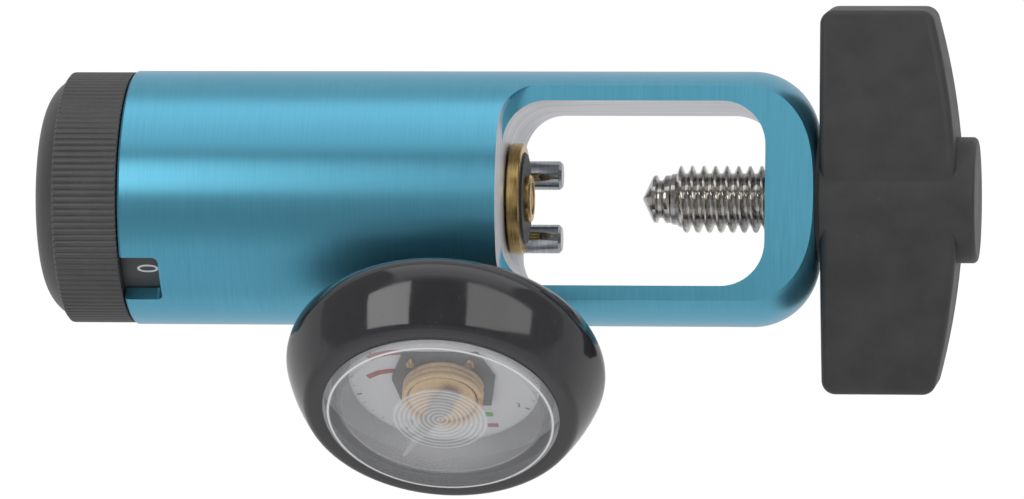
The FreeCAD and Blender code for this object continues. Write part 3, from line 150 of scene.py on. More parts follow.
def turned(name, profile, material, place=body_place, segments=128, closed=True, sharp=35.0,
           ripple=None):
    """A turned form from (along, radius) points. ripple(along, radius, angle) moves the radius."""
    vertices = []
    for along, radius in profile:
        for index in range(segments):
            angle = 2 * math.pi * index / segments
            reach = ripple(along, radius, angle) if ripple else radius
            vertices.append(place(along, max(reach, 0.0005), angle))
    return new_object(name, vertices, grid_faces(len(profile), segments, closed), material, sharp)


def arc(start, end, radius, side, steps=10):
    """Points after start up to end on an arc; side 1 swells to the left of its way."""
    chord = Vector(end) - Vector(start)
    middle = (Vector(start) + Vector(end)) / 2
    left = Vector((-chord.y, chord.x)).normalized()
    centre = middle - left * side * math.sqrt(radius ** 2 - (chord.length / 2) ** 2)
    first = math.atan2(start[1] - centre.y, start[0] - centre.x)
    last = math.atan2(end[1] - centre.y, end[0] - centre.x)
    sweep = (last - first + math.pi) % (2 * math.pi) - math.pi
    return [(centre.x + radius * math.cos(first + sweep * k / steps),
             centre.y + radius * math.sin(first + sweep * k / steps))
            for k in range(1, steps + 1)]


def softened(points, size=0.12, steps=3):
    """Rounds the corners of a closed profile by a small radius."""
    result = []
    count = len(points)
    for index, point in enumerate(points):
        here = Vector(point)
        before = Vector(points[index - 1]) - here
        after = Vector(points[(index + 1) % count]) - here
        if before.length < 1e-6 or after.length < 1e-6:
            continue
        bend = before.angle(after)
        if bend > math.radians(150) or here.y < 0.01:
            result.append(point)
            continue
        reach = min(size, before.length * 0.45, after.length * 0.45)
        first = here + before.normalized() * reach
        last = here + after.normalized() * reach
        for step in range(steps + 1):
            t = step / steps
            mixed = first * (1 - t) ** 2 + here * 2 * t * (1 - t) + last * t ** 2
            result.append((mixed.x, mixed.y))
    return result


# Materials

class Look:
    """A node material whose colour, roughness and bump come from object-space patterns."""

    def __init__(self, name, colour, roughness, metallic=0.0, **sockets):
        self.material = bpy.data.materials.new(name)
        self.material.use_nodes = True
        self.tree = self.material.node_tree
        self.shader = self.tree.nodes["Principled BSDF"]
        self.shader.inputs["Base Color"].default_value = (*colour, 1)
        self.shader.inputs["Roughness"].default_value = roughness
        self.shader.inputs["Metallic"].default_value = metallic
        for socket, value in sockets.items():
            self.shader.inputs[socket.replace("_", " ")].default_value = value
        self.place = self.node("ShaderNodeTexCoord").outputs["Object"]
        self.height = None

    def node(self, kind, **settings):
        made = self.tree.nodes.new(kind)
        for key, value in settings.items():
            setattr(made, key, value)
        return made

    def link(self, value, socket):
        if hasattr(value, "is_linked"):
            self.tree.links.new(value, socket)
        else:
            socket.default_value = value

    def math(self, operation, *values, clamp=False):
        made = self.node("ShaderNodeMath", operation=operation, use_clamp=clamp)
        for value, socket in zip(values, made.inputs):
            self.link(value, socket)
        return made.outputs[0]

    def axes(self, source=None):
        made = self.node("ShaderNodeSeparateXYZ")
        self.link(source or self.place, made.inputs[0])
        return made.outputs

    def noise(self, per_mm, detail=3.0, stretch=(1, 1, 1), rough=0.5):
        """Noise with this many features per millimetre, stretched along the axes."""
        mapping = self.node("ShaderNodeMapping")
        mapping.inputs["Scale"].default_value = [per_mm / MM * s for s in stretch]
        self.link(self.place, mapping.inputs["Vector"])
        made = self.node("ShaderNodeTexNoise")
        made.inputs["Scale"].default_value = 1.0
        made.inputs["Detail"].default_value = detail
        made.inputs["Roughness"].default_value = rough
        self.link(mapping.outputs[0], made.inputs["Vector"])
        return made.outputs["Fac"]

    def spots(self, per_mm, size):
        """Small round specks, 1 inside and 0 outside."""
        mapping = self.node("ShaderNodeMapping")
        mapping.inputs["Scale"].default_value = [per_mm / MM] * 3
        self.link(self.place, mapping.inputs["Vector"])
        made = self.node("ShaderNodeTexVoronoi")
        made.inputs["Scale"].default_value = 1.0
        self.link(mapping.outputs[0], made.inputs["Vector"])
        return self.span(made.outputs["Distance"], size, size * 0.5, 0, 1)

    def span(self, value, low, high, out_low, out_high):
        """Maps low..high to out_low..out_high and stops there."""
        made = self.node("ShaderNodeMapRange")
        for socket, number in zip(made.inputs[1:5], (low, high, out_low, out_high)):
            socket.default_value = number
        self.link(value, made.inputs[0])
        return made.outputs[0]

    def mix(self, factor, first, second):
        made = self.node("ShaderNodeMix", data_type="RGBA")
        self.link(factor, made.inputs[0])
        for value, socket in ((first, made.inputs[6]), (second, made.inputs[7])):
            self.link((*value, 1) if isinstance(value, tuple) else value, socket)
        return made.outputs[2]

    def blend(self, factor, first, second):
        made = self.node("ShaderNodeMix", data_type="FLOAT")
        self.link(factor, made.inputs[0])
        self.link(first, made.inputs[2])
        self.link(second, made.inputs[3])
        return made.outputs[0]

    def colour(self, value):
        self.link(value, self.shader.inputs["Base Color"])

    def roughness(self, value):
        self.link(value, self.shader.inputs["Roughness"])

    def bump(self, height, depth, strength=1.0):
        """Adds relief; depth is in millimetres."""
        made = self.node("ShaderNodeBump")
        made.inputs["Strength"].default_value = strength
        made.inputs["Distance"].default_value = depth * MM
        self.link(height, made.inputs["Height"])
        if self.height:
            self.link(self.height, made.inputs["Normal"])
        self.height = made.outputs[0]
        self.link(self.height, self.shader.inputs["Normal"])


def within(look, value, low, high, edge):
    """1 where the value lies between low and high, with soft edges, all in millimetres."""
    rise = look.span(value, (low - edge) * MM, (low + edge) * MM, 0, 1)
    fall = look.span(value, (high - edge) * MM, (high + edge) * MM, 1, 0)
    return look.math("MULTIPLY", rise, fall)


def between(look, value, bounds, out_low, out_high):
    """Maps the two bounds, in millimetres, to out_low and out_high."""
    low, high = bounds
    return look.span(value, low * MM, high * MM, out_low, out_high)


def anodised():
    """Blue anodised bar with turning lines; the walls of the yoke opening are bare."""
    look = Look("anodised_blue", (0.125, 0.46, 0.62), 0.35, 0.91, Anisotropic=0.67,
                Anisotropic_Rotation=0.25)
    tangent = look.node("ShaderNodeTangent", direction_type="RADIAL", axis="X")
    look.link(tangent.outputs[0], look.shader.inputs["Tangent"])
    lines = look.noise(9.0, 4.0, (1, 0.02, 0.02))
    patches = look.noise(0.09, 2.0)
    x, y, z = look.axes()[:3]
    normal = look.axes(look.node("ShaderNodeNewGeometry").outputs["Normal"])
    upright = look.span(look.math("ABSOLUTE", normal[2]), 0.3, 0.4, 1, 0)
    wall = look.math("MULTIPLY", within(look, x, *OPENING_X, 0.05),
                     within(look, y, *OPENING_Y, 0.04))
    bare = look.math("MULTIPLY", wall, upright)
    passes = look.noise(1.6, 2.0, (0.03, 0.03, 1))
    blue = look.mix(look.span(lines, 0.35, 0.65, 0, 1), (0.121, 0.44, 0.605),
                    (0.142, 0.49, 0.67))
    blue = look.mix(look.span(patches, 0.4, 0.7, 0, 0.35), blue, (0.12, 0.43, 0.60))
    silver = look.mix(look.span(passes, 0.4, 0.6, 0, 1), (0.66, 0.67, 0.71), (0.82, 0.82, 0.85))
    look.colour(look.mix(bare, blue, silver))
    look.roughness(look.blend(bare, look.span(lines, 0.3, 0.7, 0.32, 0.38), 0.42))
    look.bump(lines, 0.003, 0.3)
    look.bump(look.math("MULTIPLY", passes, bare), 0.03, 0.5)
    return look.material


def metal(name, dark, light, roughness, grain=6.0, stretch=(1, 1, 1), tarnish=None,
          metallic=1.0, relief=0.006):
    """A machined metal with fine lines, and a little tarnish where one is given."""
    look = Look(name, light, roughness, metallic)
    lines = look.noise(grain, 4.0, stretch)
    cloud = look.noise(0.5, 3.0)
    colour = look.mix(look.span(lines, 0.35, 0.65, 0, 1), dark, light)
    if tarnish:
        colour = look.mix(look.span(cloud, 0.5, 0.75, 0, 0.6), colour, tarnish)
    look.colour(colour)
    look.roughness(look.span(lines, 0.3, 0.7, roughness * 0.75, roughness * 1.35))
    look.bump(lines, relief, 0.4)
    return look.material


def moulded(name, dark, light, roughness, grain, relief, coat=0.0):
    """Moulded plastic with a fine spark-eroded grain and faint flow patches."""
    look = Look(name, dark, roughness, Coat_Weight=coat, Coat_Roughness=0.2)
    fine = look.noise(grain, 3.0)
    patches = look.noise(0.22, 4.0, rough=0.6)
    scuffs = look.noise(1.3, 6.0, (1, 0.35, 1), rough=0.7)
    colour = look.mix(look.span(patches, 0.35, 0.7, 0, 1), dark, light)
    colour = look.mix(look.span(scuffs, 0.62, 0.8, 0, 0.5), colour,
                      tuple(min(1.0, c * 1.8) for c in light))
    look.colour(colour)
    look.roughness(look.span(patches, 0.3, 0.7, roughness * 0.88, roughness * 1.12))
    look.bump(fine, relief, 0.6)
    return look.material


def boot_rubber():
    """Smooth black rubber with dust specks and a trace of orange peel."""
    look = Look("black_rubber", (0.026, 0.026, 0.029), 0.07, Specular_IOR_Level=0.75)
    peel = look.noise(0.5, 2.0)
    dust = look.spots(0.9, 0.16)
    worn = look.noise(0.25, 5.0, rough=0.65)
    few = look.math("MULTIPLY", dust, look.span(worn, 0.52, 0.6, 0, 0.35))
    colour = look.mix(look.span(worn, 0.35, 0.7, 0, 1), (0.023, 0.023, 0.026),
                      (0.030, 0.030, 0.033))
    look.colour(look.mix(few, colour, (0.10, 0.10, 0.105)))
    look.roughness(look.span(worn, 0.3, 0.75, 0.06, 0.12))
    look.bump(peel, 0.02, 0.15)
    return look.material


def seal_rubber():
    look = Look("seal_rubber", (0.02, 0.02, 0.022), 0.5)
    look.roughness(look.span(look.noise(2.0), 0.3, 0.7, 0.42, 0.6))
    look.bump(look.noise(5.0), 0.02, 0.4)
    return look.material


def clear_plastic():
    """Clear moulded lens: hazy on its ringed centre and see-through out to the rim; a painted
    highlight makes the rounded rim and a thin line along its front edge whitish, and painted shade
    makes the inner skirt grey.
    """
    look = Look("clear_plastic", CLEAR_TINT, 0.1)
    haze = look.noise(0.12, 3.0)
    scratches = look.noise(2.5, 5.0, (1, 0.08, 1), rough=0.7)
    x, y, z = look.axes()[:3]
    right = look.math("ADD", x, -GAUGE_X * MM)
    up = look.math("ADD", look.math("MULTIPLY", y, math.cos(LEAN)),
                   look.math("MULTIPLY", z, math.sin(LEAN)))
    height = look.math("SUBTRACT", look.math("MULTIPLY", z, math.cos(LEAN)),
                       look.math("MULTIPLY", y, math.sin(LEAN)))
    radius = look.math("SQRT", look.math("ADD", look.math("MULTIPLY", right, right),
                                         look.math("MULTIPLY", up, up)))
    front = look.span(height, (LENS_FRONT - 0.1) * MM, (LENS_FRONT - 0.05) * MM, 0, 1)
    disc = look.math("MULTIPLY", front, look.span(radius, (LENS_RING_REACH - 0.1) * MM,
                                                  (LENS_RING_REACH + 0.1) * MM, 1, 0))
    wave = look.math("COSINE", look.math("MULTIPLY", radius,
                                         2 * math.pi / (LENS_RING_STEP * MM)))
    rings = look.span(wave, -0.7, 0.3, 0.55, 0.3)
    facing = look.node("ShaderNodeLayerWeight").outputs["Facing"]
    clear = look.math("ADD", look.span(facing, 0.3, 0.95, 0.07, 0.55),
                      look.span(haze, 0.35, 0.75, 0, 0.04))
    # Painted highlight: the rounded rim turns partly opaque and whitish, and a thin fully opaque
    # white line runs along the top of the front edge.
    rim = look.math("MULTIPLY", between(look, radius, LENS_RIM_HIGHLIGHT, 0, 0.22),
                    between(look, height, LENS_RIM_HIGHLIGHT_HEIGHT, 0, 1))
    line = look.math("MULTIPLY", within(look, radius, *LENS_HIGHLIGHT_LINE, 0.1), front)
    # Painted shade: the inner skirt turns partly opaque and grey.
    skirt_shade = look.math("MULTIPLY", between(look, height, LENS_SKIRT_SHADE_HEIGHT, 0.5, 0),
                      between(look, radius, LENS_SKIRT_SHADE_REACH, 1, 0))
    # The painted highlights and the painted shade of the skirt together set the opacity.
    painted_highlight_and_shade = look.math("MAXIMUM", look.math("MAXIMUM", rim, line), skirt_shade)
    look.link(look.math("MAXIMUM", look.blend(disc, clear, rings), painted_highlight_and_shade),
              look.shader.inputs["Alpha"])
    # The painted shade gives the skirt its grey colour; the rest keeps the clear tint.
    look.colour(look.mix(look.span(skirt_shade, 0.1, 0.5, 0, 1), CLEAR_TINT, SKIRT_SHADE))
    look.roughness(look.span(haze, 0.35, 0.75, 0.07, 0.14))
    look.bump(scratches, 0.004, 0.3)
    return look.material


def painted(name, colour, roughness, speckle):
    look = Look(name, colour, roughness)
    fine = look.noise(4.0)
    look.colour(look.mix(look.span(fine, 0.35, 0.65, 0, 1), colour,
                         tuple(c * speckle for c in colour)))
    look.roughness(look.span(fine, 0.3, 0.7, roughness * 0.85, roughness * 1.15))
    look.bump(fine, 0.008, 0.3)
    return look.material


def print_ink(name, colour):
    look = Look(name, colour, 0.5)
    look.colour(look.mix(look.span(look.noise(9.0), 0.4, 0.7, 0, 0.5), colour,
                         tuple(c * 0.8 for c in colour)))
    return look.material


BLUE = anodised()
STEEL = metal("steel", (0.50, 0.49, 0.47), (0.74, 0.71, 0.66), 0.12, 5.0, (1, 0.05, 0.05))
POLISHED = metal("pin_steel", (0.33, 0.35, 0.37), (0.45, 0.48, 0.51), 0.08, 5.0, (1, 0.05, 0.05),
                 relief=0.0005)
BRASS = metal("brass", (0.55, 0.36, 0.12), (0.78, 0.58, 0.26), 0.22, 6.0, (1, 0.05, 0.05),
              (0.42, 0.26, 0.1))
GOLD = metal("coil_brass", (0.86, 0.58, 0.27), (0.95, 0.68, 0.35), 0.35, 2.0, metallic=0.1,
             relief=0.002)
BRONZE = metal("bronze", (0.35, 0.2, 0.07), (0.8, 0.58, 0.25), 0.45, 3.5)
HANDLE = moulded("handle_plastic", (0.037, 0.037, 0.038), (0.051, 0.051, 0.051), 0.5, 2.2, 0.05)
KNOB = moulded("knob_plastic", (0.060, 0.060, 0.061), (0.077, 0.077, 0.078), 0.42, 3.0, 0.03)
DRUM = moulded("washer_plastic", (0.012, 0.012, 0.013), (0.02, 0.02, 0.021), 0.45, 3.0, 0.03)
BOOT = boot_rubber()
SEAL = seal_rubber()
CLEAR = clear_plastic()
WHITE_PLASTIC = painted("white_plastic", (0.75, 0.75, 0.72), 0.45, 0.93)
DIAL = painted("dial_white", (0.84, 0.85, 0.88), 0.4, 0.97)
DARK = painted("dark_metal", (0.07, 0.073, 0.077), 0.4, 0.75)
POINTER = painted("pointer_grey", (0.36, 0.35, 0.34), 0.4, 0.9)
WHITE_INK = print_ink("white_ink", (0.75, 0.76, 0.78))
RED_INK = print_ink("red_ink", (0.42, 0.03, 0.05))
GREEN_INK = print_ink("green_ink", (0.1, 0.45, 0.08))
BLACK_INK = print_ink("black_ink", (0.03, 0.03, 0.035))

NODE_LOOKS = {
    "yoke_body": BLUE, "index_pins": POLISHED, "inlet_nipple": BRASS, "inlet_filter": BRONZE,
    "seal_ring": BRASS, "seal_washer": SEAL, "nozzle_insert": BRASS, "piston": BRASS,
    "piston_seat": WHITE_PLASTIC, "piston_spring": STEEL, "piston_oring": SEAL,
    "stem_oring": SEAL, "flow_housing": BRASS, "housing_oring": SEAL, "port_oring": SEAL,
    "orifice_disc": STEEL, "detent_ball": POLISHED, "detent_spring": STEEL,
    "selector_spindle": STEEL, "spindle_clip": STEEL, "spindle_oring": SEAL,
    "selector_knob": KNOB, "outlet_barb": BRASS, "tee_screw": STEEL, "thrust_washer": DRUM,
    "tee_handle": HANDLE, "gauge_stem": BRASS, "gauge_case": DARK, "gauge_boot": BOOT,
    "gauge_lens": CLEAR, "gauge_dial": DIAL, "coil_bracket": DARK, "bracket_screws": BRASS,
    "bourdon_coil": GOLD, "gauge_pointer": POINTER,
}
for node, look in NODE_LOOKS.items():
    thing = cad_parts[node]
    for place in thing.material_slots:
        place.material = look


# Selector knob with its ribs, and the numbers on its drum

def knob_profile():
    shoulder = arc((-60.95, 16.25), (-63.9, 11.6), 6.0, -1, 12)
    dome = arc((-63.9, 11.6), (-65.1, 0.0), 57.0, -1, 10)
    outer = [(-51.95, 17.1), (-52.05, 17.25), (-60.3, 17.25), (-60.5, 17.2), (-60.8, 16.8)]
    inner = [(-61.1, 0.0), (-61.1, 2.5), (-49.0, 2.5), (-49.0, 5.0), (-62.2, 5.0),
             (-62.2, 11.0), (-60.5, 13.2), (-46.0, 13.2)]
    drum = [(-46.0, 14.9), (-46.3, 15.2), (-51.95, 15.2)]
    return softened(inner + drum, 0.15) + outer + [(-60.95, 16.25)] + shoulder + dome


def rib_depth(along, radius, angle):
    """Narrow grooves in the grip, between broad lands."""
    if not (GRIP[0] < along < GRIP[1] and radius > GRIP_RADIUS):
        return radius
    groove = 0.5 - 0.5 * math.cos(angle * RIBS)
    return radius - RIB_DEPTH * groove ** 3


def selector_knob():
    knob = turned("knob_ribbed", knob_profile(), KNOB, segments=RIBS * RIB_SEGMENTS,
                  ripple=rib_depth)
    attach(knob, "selector")
    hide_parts("selector_knob")
    pip = turned("knob_pip", [(-64.8, 0.0), (-65.5, 0.0), (-65.55, 0.75), (-65.45, 1.0),
                              (-64.8, 1.1)], KNOB, segments=32, closed=False)
    pip.data.transform(Matrix.Translation((0, -3.2 * MM, 0)))
    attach(pip, "selector")


def text_shape(text, size, resolution):
    """Flat points and faces of a text about its middle."""
    curve = bpy.data.curves.new("text", "FONT")
    curve.body = text
    curve.align_x = "CENTER"
    curve.align_y = "CENTER"
    curve.size = size
    curve.resolution_u = resolution
    maker = bpy.data.objects.new("text", curve)
    bpy.context.scene.collection.objects.link(maker)
    bpy.context.view_layer.update()
    mesh = bpy.data.meshes.new_from_object(maker.evaluated_get(
        bpy.context.evaluated_depsgraph_get()))
    bpy.data.objects.remove(maker)
    points = [(vertex.co.x, vertex.co.y) for vertex in mesh.vertices]
    return points, [tuple(polygon.vertices) for polygon in mesh.polygons]


def number_on_drum(text, angle):
    """A flow number printed round the drum; its top points to -X."""
    points, faces = text_shape(text, NUMBER_SIZE, 4)
    vertices = [body_place(NUMBER_X - up, NUMBER_RADIUS,
                           angle - right * NUMBER_NARROWING / NUMBER_RADIUS)
                for right, up in points]
    thing = new_object("number_" + text.replace(".", "p"), vertices, faces, WHITE_INK)
    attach(thing, "selector")


def drum_numbers():
    for index, text in enumerate(FLOW_NUMBERS):
        number_on_drum(text, math.radians(WINDOW_ANGLE - CLICK_STEP * index))


# Clamp screw with its helical thread

def thread_radius(x, angle):
    """Radius of a right-handed thread, with a crest on +Y at its start."""
    phase = (x - THREAD[0] - PITCH * angle / (2 * math.pi)) / PITCH % 1.0
    off = abs(phase - 0.5) * 2
    flank = min(max((off - CREST_SHARE) / FLANK_SHARE, 0.0), 1.0)
    depth = (CREST - ROOT) * min(1.0, max(0.0, (x - THREAD[0] + 0.9) / 1.3))
    return CREST - depth * (1.0 - flank)


def clamp_screw():
    tip = [(18.3, 0.0), (18.45, 0.35), (19.6, 2.75), (19.9, 3.22), (20.3, 3.27), (20.55, 2.66),
           (20.75, 2.58), (21.05, 2.6), (21.45, 3.2), (21.6, 3.27), (22.2, 3.27), (22.45, 3.48),
           (23.0, 3.52)]
    start, end = THREAD
    count = int((end - start) / PITCH * STEPS_PER_PITCH)
    shaft = [(start + (end - start) * k / count, CREST) for k in range(count + 1)]
    rest = [(42.3, CREST), (58.1, CREST), (58.1, 0.0)]

    def ripple(x, radius, angle):
        if start <= x <= end and radius == CREST:
            return thread_radius(x, angle)
        return radius

    screw = turned("clamp_screw", tip + shaft + rest, STEEL, segments=72, closed=False,
                   sharp=28.0, ripple=ripple)
    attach(screw, "clamp")
    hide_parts("tee_screw")


# Gauge

def gauge_boot():
    back = arc((21.6, 12.5), (26.8, 20.2), 56.0, 1, 10)
    widest = arc((26.8, 20.2), (30.8, 21.42), 3.7, 1, 16)
    belly = arc((30.8, 21.42), (36.9, 18.66), 26.0, 1, 10)
    front = arc((36.9, 18.66), (37.5, 17.7), 1.3, 1, 6)
    profile = [(21.6, 4.02), (21.6, 11.9), (21.6, 12.5)] + back + widest + belly + front
    profile += softened([(37.5, 16.08), (35.9, 16.08), (35.9, 18.4), (26.8, 18.4), (23.6, 13.9),
                         (23.6, 4.02)], 0.2)
    boot = turned("boot_skin", profile, BOOT, gauge_place, 160, sharp=40.0)
    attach(boot, "regulator")
    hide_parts("gauge_boot")


def gauge_lens():
    """The lens cup with the moulded rings on its front."""
    seat, front, bore, step = LENS_SEAT, LENS_FRONT, LENS_BORE, LENS_RING_STEP
    profile = [(31.9, 12.9), (31.9, 13.5), (seat - 0.2, 15.6), (seat, 18.1), (seat + 1.3, 18.1),
               (seat + 1.3, bore)]
    profile = softened(profile, 0.15)
    profile += [(front - 1.1, bore)] + arc((front - 1.1, bore), (front, bore - 1.1), 1.1, 1, 8)
    for index in reversed(range(LENS_RINGS)):
        crest = step * (index + 0.5)
        profile += [(front, crest + 0.45 * step), (front + 0.16, crest + 0.12 * step),
                    (front + 0.16, crest - 0.12 * step), (front, crest - 0.45 * step)]
    profile += [(front - 1.2, 0.0), (front - 1.2, 13.5)]
    profile += arc((front - 1.2, 13.5), (front - 2.1, 14.3), 0.94, 1, 6)
    lens = turned("lens_clear", profile, CLEAR, gauge_place, 160, sharp=50.0)
    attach(lens, "regulator")
    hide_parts("gauge_lens")


def coil_cap():
    """The brass disc in the mouth of the coil."""
    profile = softened([(34.75, 1.0), (34.75, 4.6), (35.05, 4.6), (35.05, 1.0)], 0.1)
    cap = turned("coil_cap", profile, GOLD, gauge_place, 64)
    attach(cap, "regulator")


def dial_mark(name, radius_in, radius_out, start, end, ink):
    """A printed arc on the dial; angles in degrees, counterclockwise from +X."""
    steps = max(2, int(abs(end - start) / 3))
    vertices = []
    for radius in (radius_in, radius_out):
        for k in range(steps + 1):
            angle = math.radians(start + (end - start) * k / steps)
            vertices.append(gauge_place(DIAL_FACE, radius, angle))
    row = steps + 1
    faces = [(k, k + 1, row + k + 1, row + k) for k in range(steps)]
    thing = new_object(name, vertices, faces, ink)
    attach(thing, "regulator")


def dial_figure(text, angle):
    """An upright figure of the dial's scale."""
    points, faces = text_shape(text, FIGURE_SIZE, 3)
    middle = (FIGURE_RADIUS * math.cos(math.radians(angle)),
              FIGURE_RADIUS * math.sin(math.radians(angle)))
    vertices = [on_dial(middle[0] + right, middle[1] + up, DIAL_FACE) for right, up in points]
    thing = new_object("figure_" + text, vertices, faces, BLACK_INK)
    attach(thing, "regulator")


def dial_stroke(name, points, width, ink):
    """A printed line on the dial through the points."""
    vertices = []
    for index, (right, up) in enumerate(points):
        before = points[max(index - 1, 0)]
        after = points[min(index + 1, len(points) - 1)]
        along = Vector((after[0] - before[0], after[1] - before[1])).normalized()
        for side in (-0.5, 0.5):
            vertices.append(on_dial(right - along.y * width * side, up + along.x * width * side,
                                    DIAL_FACE))
    faces = [(2 * k, 2 * k + 2, 2 * k + 3, 2 * k + 1) for k in range(len(points) - 1)]
    thing = new_object(name, vertices, faces, ink)
    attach(thing, "regulator")


def dial_print():
    """A plain scale near the rim, and the red and green marks of the photo."""
    for index in range(SCALE_PARTS + 1):
        at = SCALE_ZERO + SCALE_SWEEP * index / SCALE_PARTS
        start, half = (12.0, 0.5) if index % 5 == 0 else (12.3, 0.25)
        dial_mark("tick_%02d" % index, start, TICK_END, at - half, at + half, BLACK_INK)
    for index, text in enumerate(FIGURES):
        dial_figure(text, SCALE_ZERO + SCALE_SWEEP * index / (len(FIGURES) - 1))
    dial_stroke("red_outer", [(-9.9, 4.5), (-8.6, 5.3), (-7.0, 5.8), (-5.2, 6.0)], 1.1, RED_INK)
    dial_stroke("red_inner", [(-10.4, 0.5), (-8.8, 1.5), (-7.2, 1.9), (-5.2, 1.9)], 0.9, RED_INK)
    dial_stroke("green_mark", [(4.7, -7.5), (5.9, -7.5)], 0.9, GREEN_INK)
    dial_stroke("pink_mark", [(4.9, -9.9), (6.4, -9.9)], 0.8, RED_INK)


# Build everything

selector_knob()
drum_numbers()
clamp_screw()
gauge_boot()
gauge_lens()
coil_cap()
dial_print()


# Floor, camera and light

def studio_floor():
    """White paper; what the camera, metal and glass see of it glows, and a faint shadow stays."""
    look = Look("floor_paper", (0.9, 0.9, 0.9), 0.7)
    look.colour(look.mix(look.span(look.noise(0.02), 0.3, 0.7, 0, 1), (0.89, 0.89, 0.89),
                         (0.91, 0.91, 0.91)))
    ray = look.node("ShaderNodeLightPath").outputs
    seen = look.math("MAXIMUM", ray["Is Camera Ray"], ray["Is Transmission Ray"])
    share = look.math("ADD", look.math("MULTIPLY", seen, 0.85),
                      look.math("MULTIPLY", ray["Is Glossy Ray"], 0.25), clamp=True)
    glow = look.node("ShaderNodeEmission")
    glow.inputs["Strength"].default_value = 1.1
    both = look.node("ShaderNodeMixShader")
    look.link(share, both.inputs[0])
    look.link(look.shader.outputs[0], both.inputs[1])
    look.link(glow.outputs[0], both.inputs[2])
    look.link(both.outputs[0], look.tree.nodes["Material Output"].inputs["Surface"])
    half = FLOOR_HALF
    corners = [(-half, -half), (half, -half), (half, half), (-half, half)]
    floor = new_object("floor", [(x, y, FLOOR_HEIGHT) for x, y in corners], [(0, 1, 2, 3)],
                       look.material)


# Brightness of the surroundings against the angle from overhead (degrees, positive to +Y):
# along the middle, and off to the sides.
SURROUNDINGS = ((-180, 0.48), (-144, 0.50), (-120, 0.56), (-90, 0.62), (-52, 0.62), (-39, 0.38),
                (-24, 0.31), (-10, 0.34), (4, 0.18), (36, 0.18), (42, 0.85), (61, 1.0),
                (74, 1.20), (100, 1.25), (112, 1.25), (117, 0.55), (144, 0.50), (180, 0.48))
SIDES = ((-180, 0.48), (-90, 0.62), (-45, 0.50), (-10, 0.30), (30, 0.28), (70, 0.30), (115, 0.32),
         (180, 0.48))


def brightness_ramp(tree, angle, stops):
    ramp = tree.nodes.new("ShaderNodeValToRGB")
    while len(ramp.color_ramp.elements) < len(stops):
        ramp.color_ramp.elements.new(0.5)
    for element, (degrees, value) in zip(ramp.color_ramp.elements, stops):
        element.position = (degrees + 180) / 360
        element.color = (value, value, value * 1.02, 1)
    tree.links.new(angle, ramp.inputs[0])
    return ramp.outputs[0]


def world_light():
    """Pale surroundings with a darker part overhead and darker sides."""
    world = bpy.data.worlds.new("studio")
    bpy.context.scene.world = world
    world.use_nodes = True
    tree = world.node_tree
    background = tree.nodes["Background"]
    place = tree.nodes.new("ShaderNodeTexCoord")
    split = tree.nodes.new("ShaderNodeSeparateXYZ")
    tree.links.new(place.outputs["Generated"], split.inputs[0])
    angle = tree.nodes.new("ShaderNodeMath")
    angle.operation = "ARCTAN2"
    tree.links.new(split.outputs[1], angle.inputs[0])
    tree.links.new(split.outputs[2], angle.inputs[1])
    scale = tree.nodes.new("ShaderNodeMapRange")
    scale.inputs[1].default_value = -math.pi
    scale.inputs[2].default_value = math.pi
    tree.links.new(angle.outputs[0], scale.inputs[0])
    edge = tree.nodes.new("ShaderNodeValToRGB")
    for element, (place_x, value) in zip(edge.color_ramp.elements, ((0.235, 1), (0.26, 0))):
        element.position = place_x
        element.color = (value, value, value, 1)
    for place_x, value in ((0.85, 0), (0.88, 1)):
        element = edge.color_ramp.elements.new(place_x)
        element.color = (value, value, value, 1)
    across = tree.nodes.new("ShaderNodeMapRange")
    across.inputs[1].default_value = -1.0
    across.inputs[2].default_value = 1.0
    tree.links.new(split.outputs[0], across.inputs[0])
    tree.links.new(across.outputs[0], edge.inputs[0])
    both = tree.nodes.new("ShaderNodeMix")
    both.data_type = "RGBA"
    tree.links.new(edge.outputs[0], both.inputs[0])
    tree.links.new(brightness_ramp(tree, scale.outputs[0], SURROUNDINGS), both.inputs[6])
    tree.links.new(brightness_ramp(tree, scale.outputs[0], SIDES), both.inputs[7])
    tree.links.new(both.outputs[2], background.inputs[0])
    background.inputs[1].default_value = 1.0


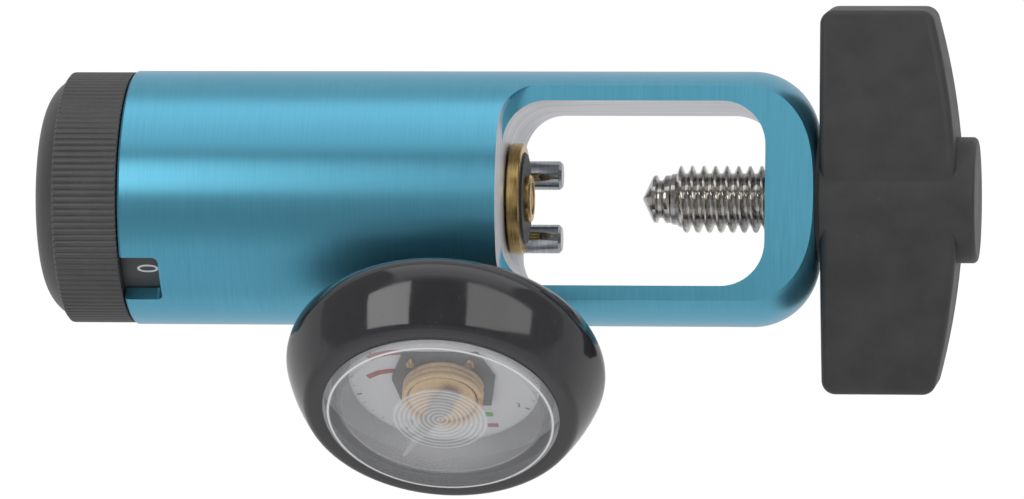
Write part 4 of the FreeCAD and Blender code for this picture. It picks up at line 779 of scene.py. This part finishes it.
def softbox(name, corners, radiance, colour=(1, 1, 1)):
    """A rectangular lamp between two edges along X: (first x, last x), (near y, z), (far y, z)."""
    (first, last), near, far = corners
    middle = Vector(((first + last) / 2, (near[0] + far[0]) / 2, (near[1] + far[1]) / 2)) * MM
    slope = Vector((0, far[0] - near[0], far[1] - near[1]))
    light = bpy.data.lights.new(name, "AREA")
    light.shape = "RECTANGLE"
    light.size = (last - first) * MM
    light.size_y = slope.length * MM
    light.energy = radiance * math.pi * light.size * light.size_y
    light.color = colour
    thing = bpy.data.objects.new(name, light)
    across = Vector((1, 0, 0))
    along = slope.normalized()
    turn = Matrix((across, along, across.cross(along))).transposed().to_4x4()
    thing.matrix_world = Matrix.Translation(middle) @ turn
    thing.visible_camera = False
    bpy.context.scene.collection.objects.link(thing)


def fill_light(position, size, radiance):
    """A broad soft lamp that brightens matt surfaces and isn't mirrored in the metal."""
    light = bpy.data.lights.new("fill", "AREA")
    light.shape = "SQUARE"
    light.size = size * MM
    light.energy = radiance * math.pi * light.size ** 2
    thing = bpy.data.objects.new("fill", light)
    place = Vector(position) * MM
    thing.location = place
    thing.rotation_mode = "QUATERNION"
    thing.rotation_quaternion = (-place).to_track_quat("-Z", "Y")
    thing.visible_camera = False
    thing.visible_glossy = False
    bpy.context.scene.collection.objects.link(thing)


def camera():
    """The photograph's camera, from the fit of the yoke, knob, gauge and handle."""
    right = Vector((0.99245, 0.01405, -0.12188))
    up = Vector((-0.00415, 0.99670, 0.08116))
    back = Vector((0.12261, -0.08004, 0.98921))
    eye = Vector((134.04, -94.27, 1078.6)) * MM
    data = bpy.data.cameras.new("camera")
    data.sensor_width = 36.0
    data.lens = 279.75
    data.clip_start = 0.05
    data.clip_end = 20.0
    thing = bpy.data.objects.new("camera", data)
    turn = Matrix((right, up, back)).transposed().to_4x4()
    thing.matrix_world = Matrix.Translation(eye) @ turn
    bpy.context.scene.collection.objects.link(thing)
    bpy.context.scene.camera = thing


studio_floor()
world_light()
softbox("key_left", ((-223, -71), (0, 200), (95, 180)), 2.5)
softbox("key_right", ((56, 387), (0, 200), (95, 180)), 1.6, (1.0, 0.99, 0.97))
fill_light((-60, -330, 430), 500, 0.75)
camera()
bpy.context.scene.view_settings.view_transform = "Standard"
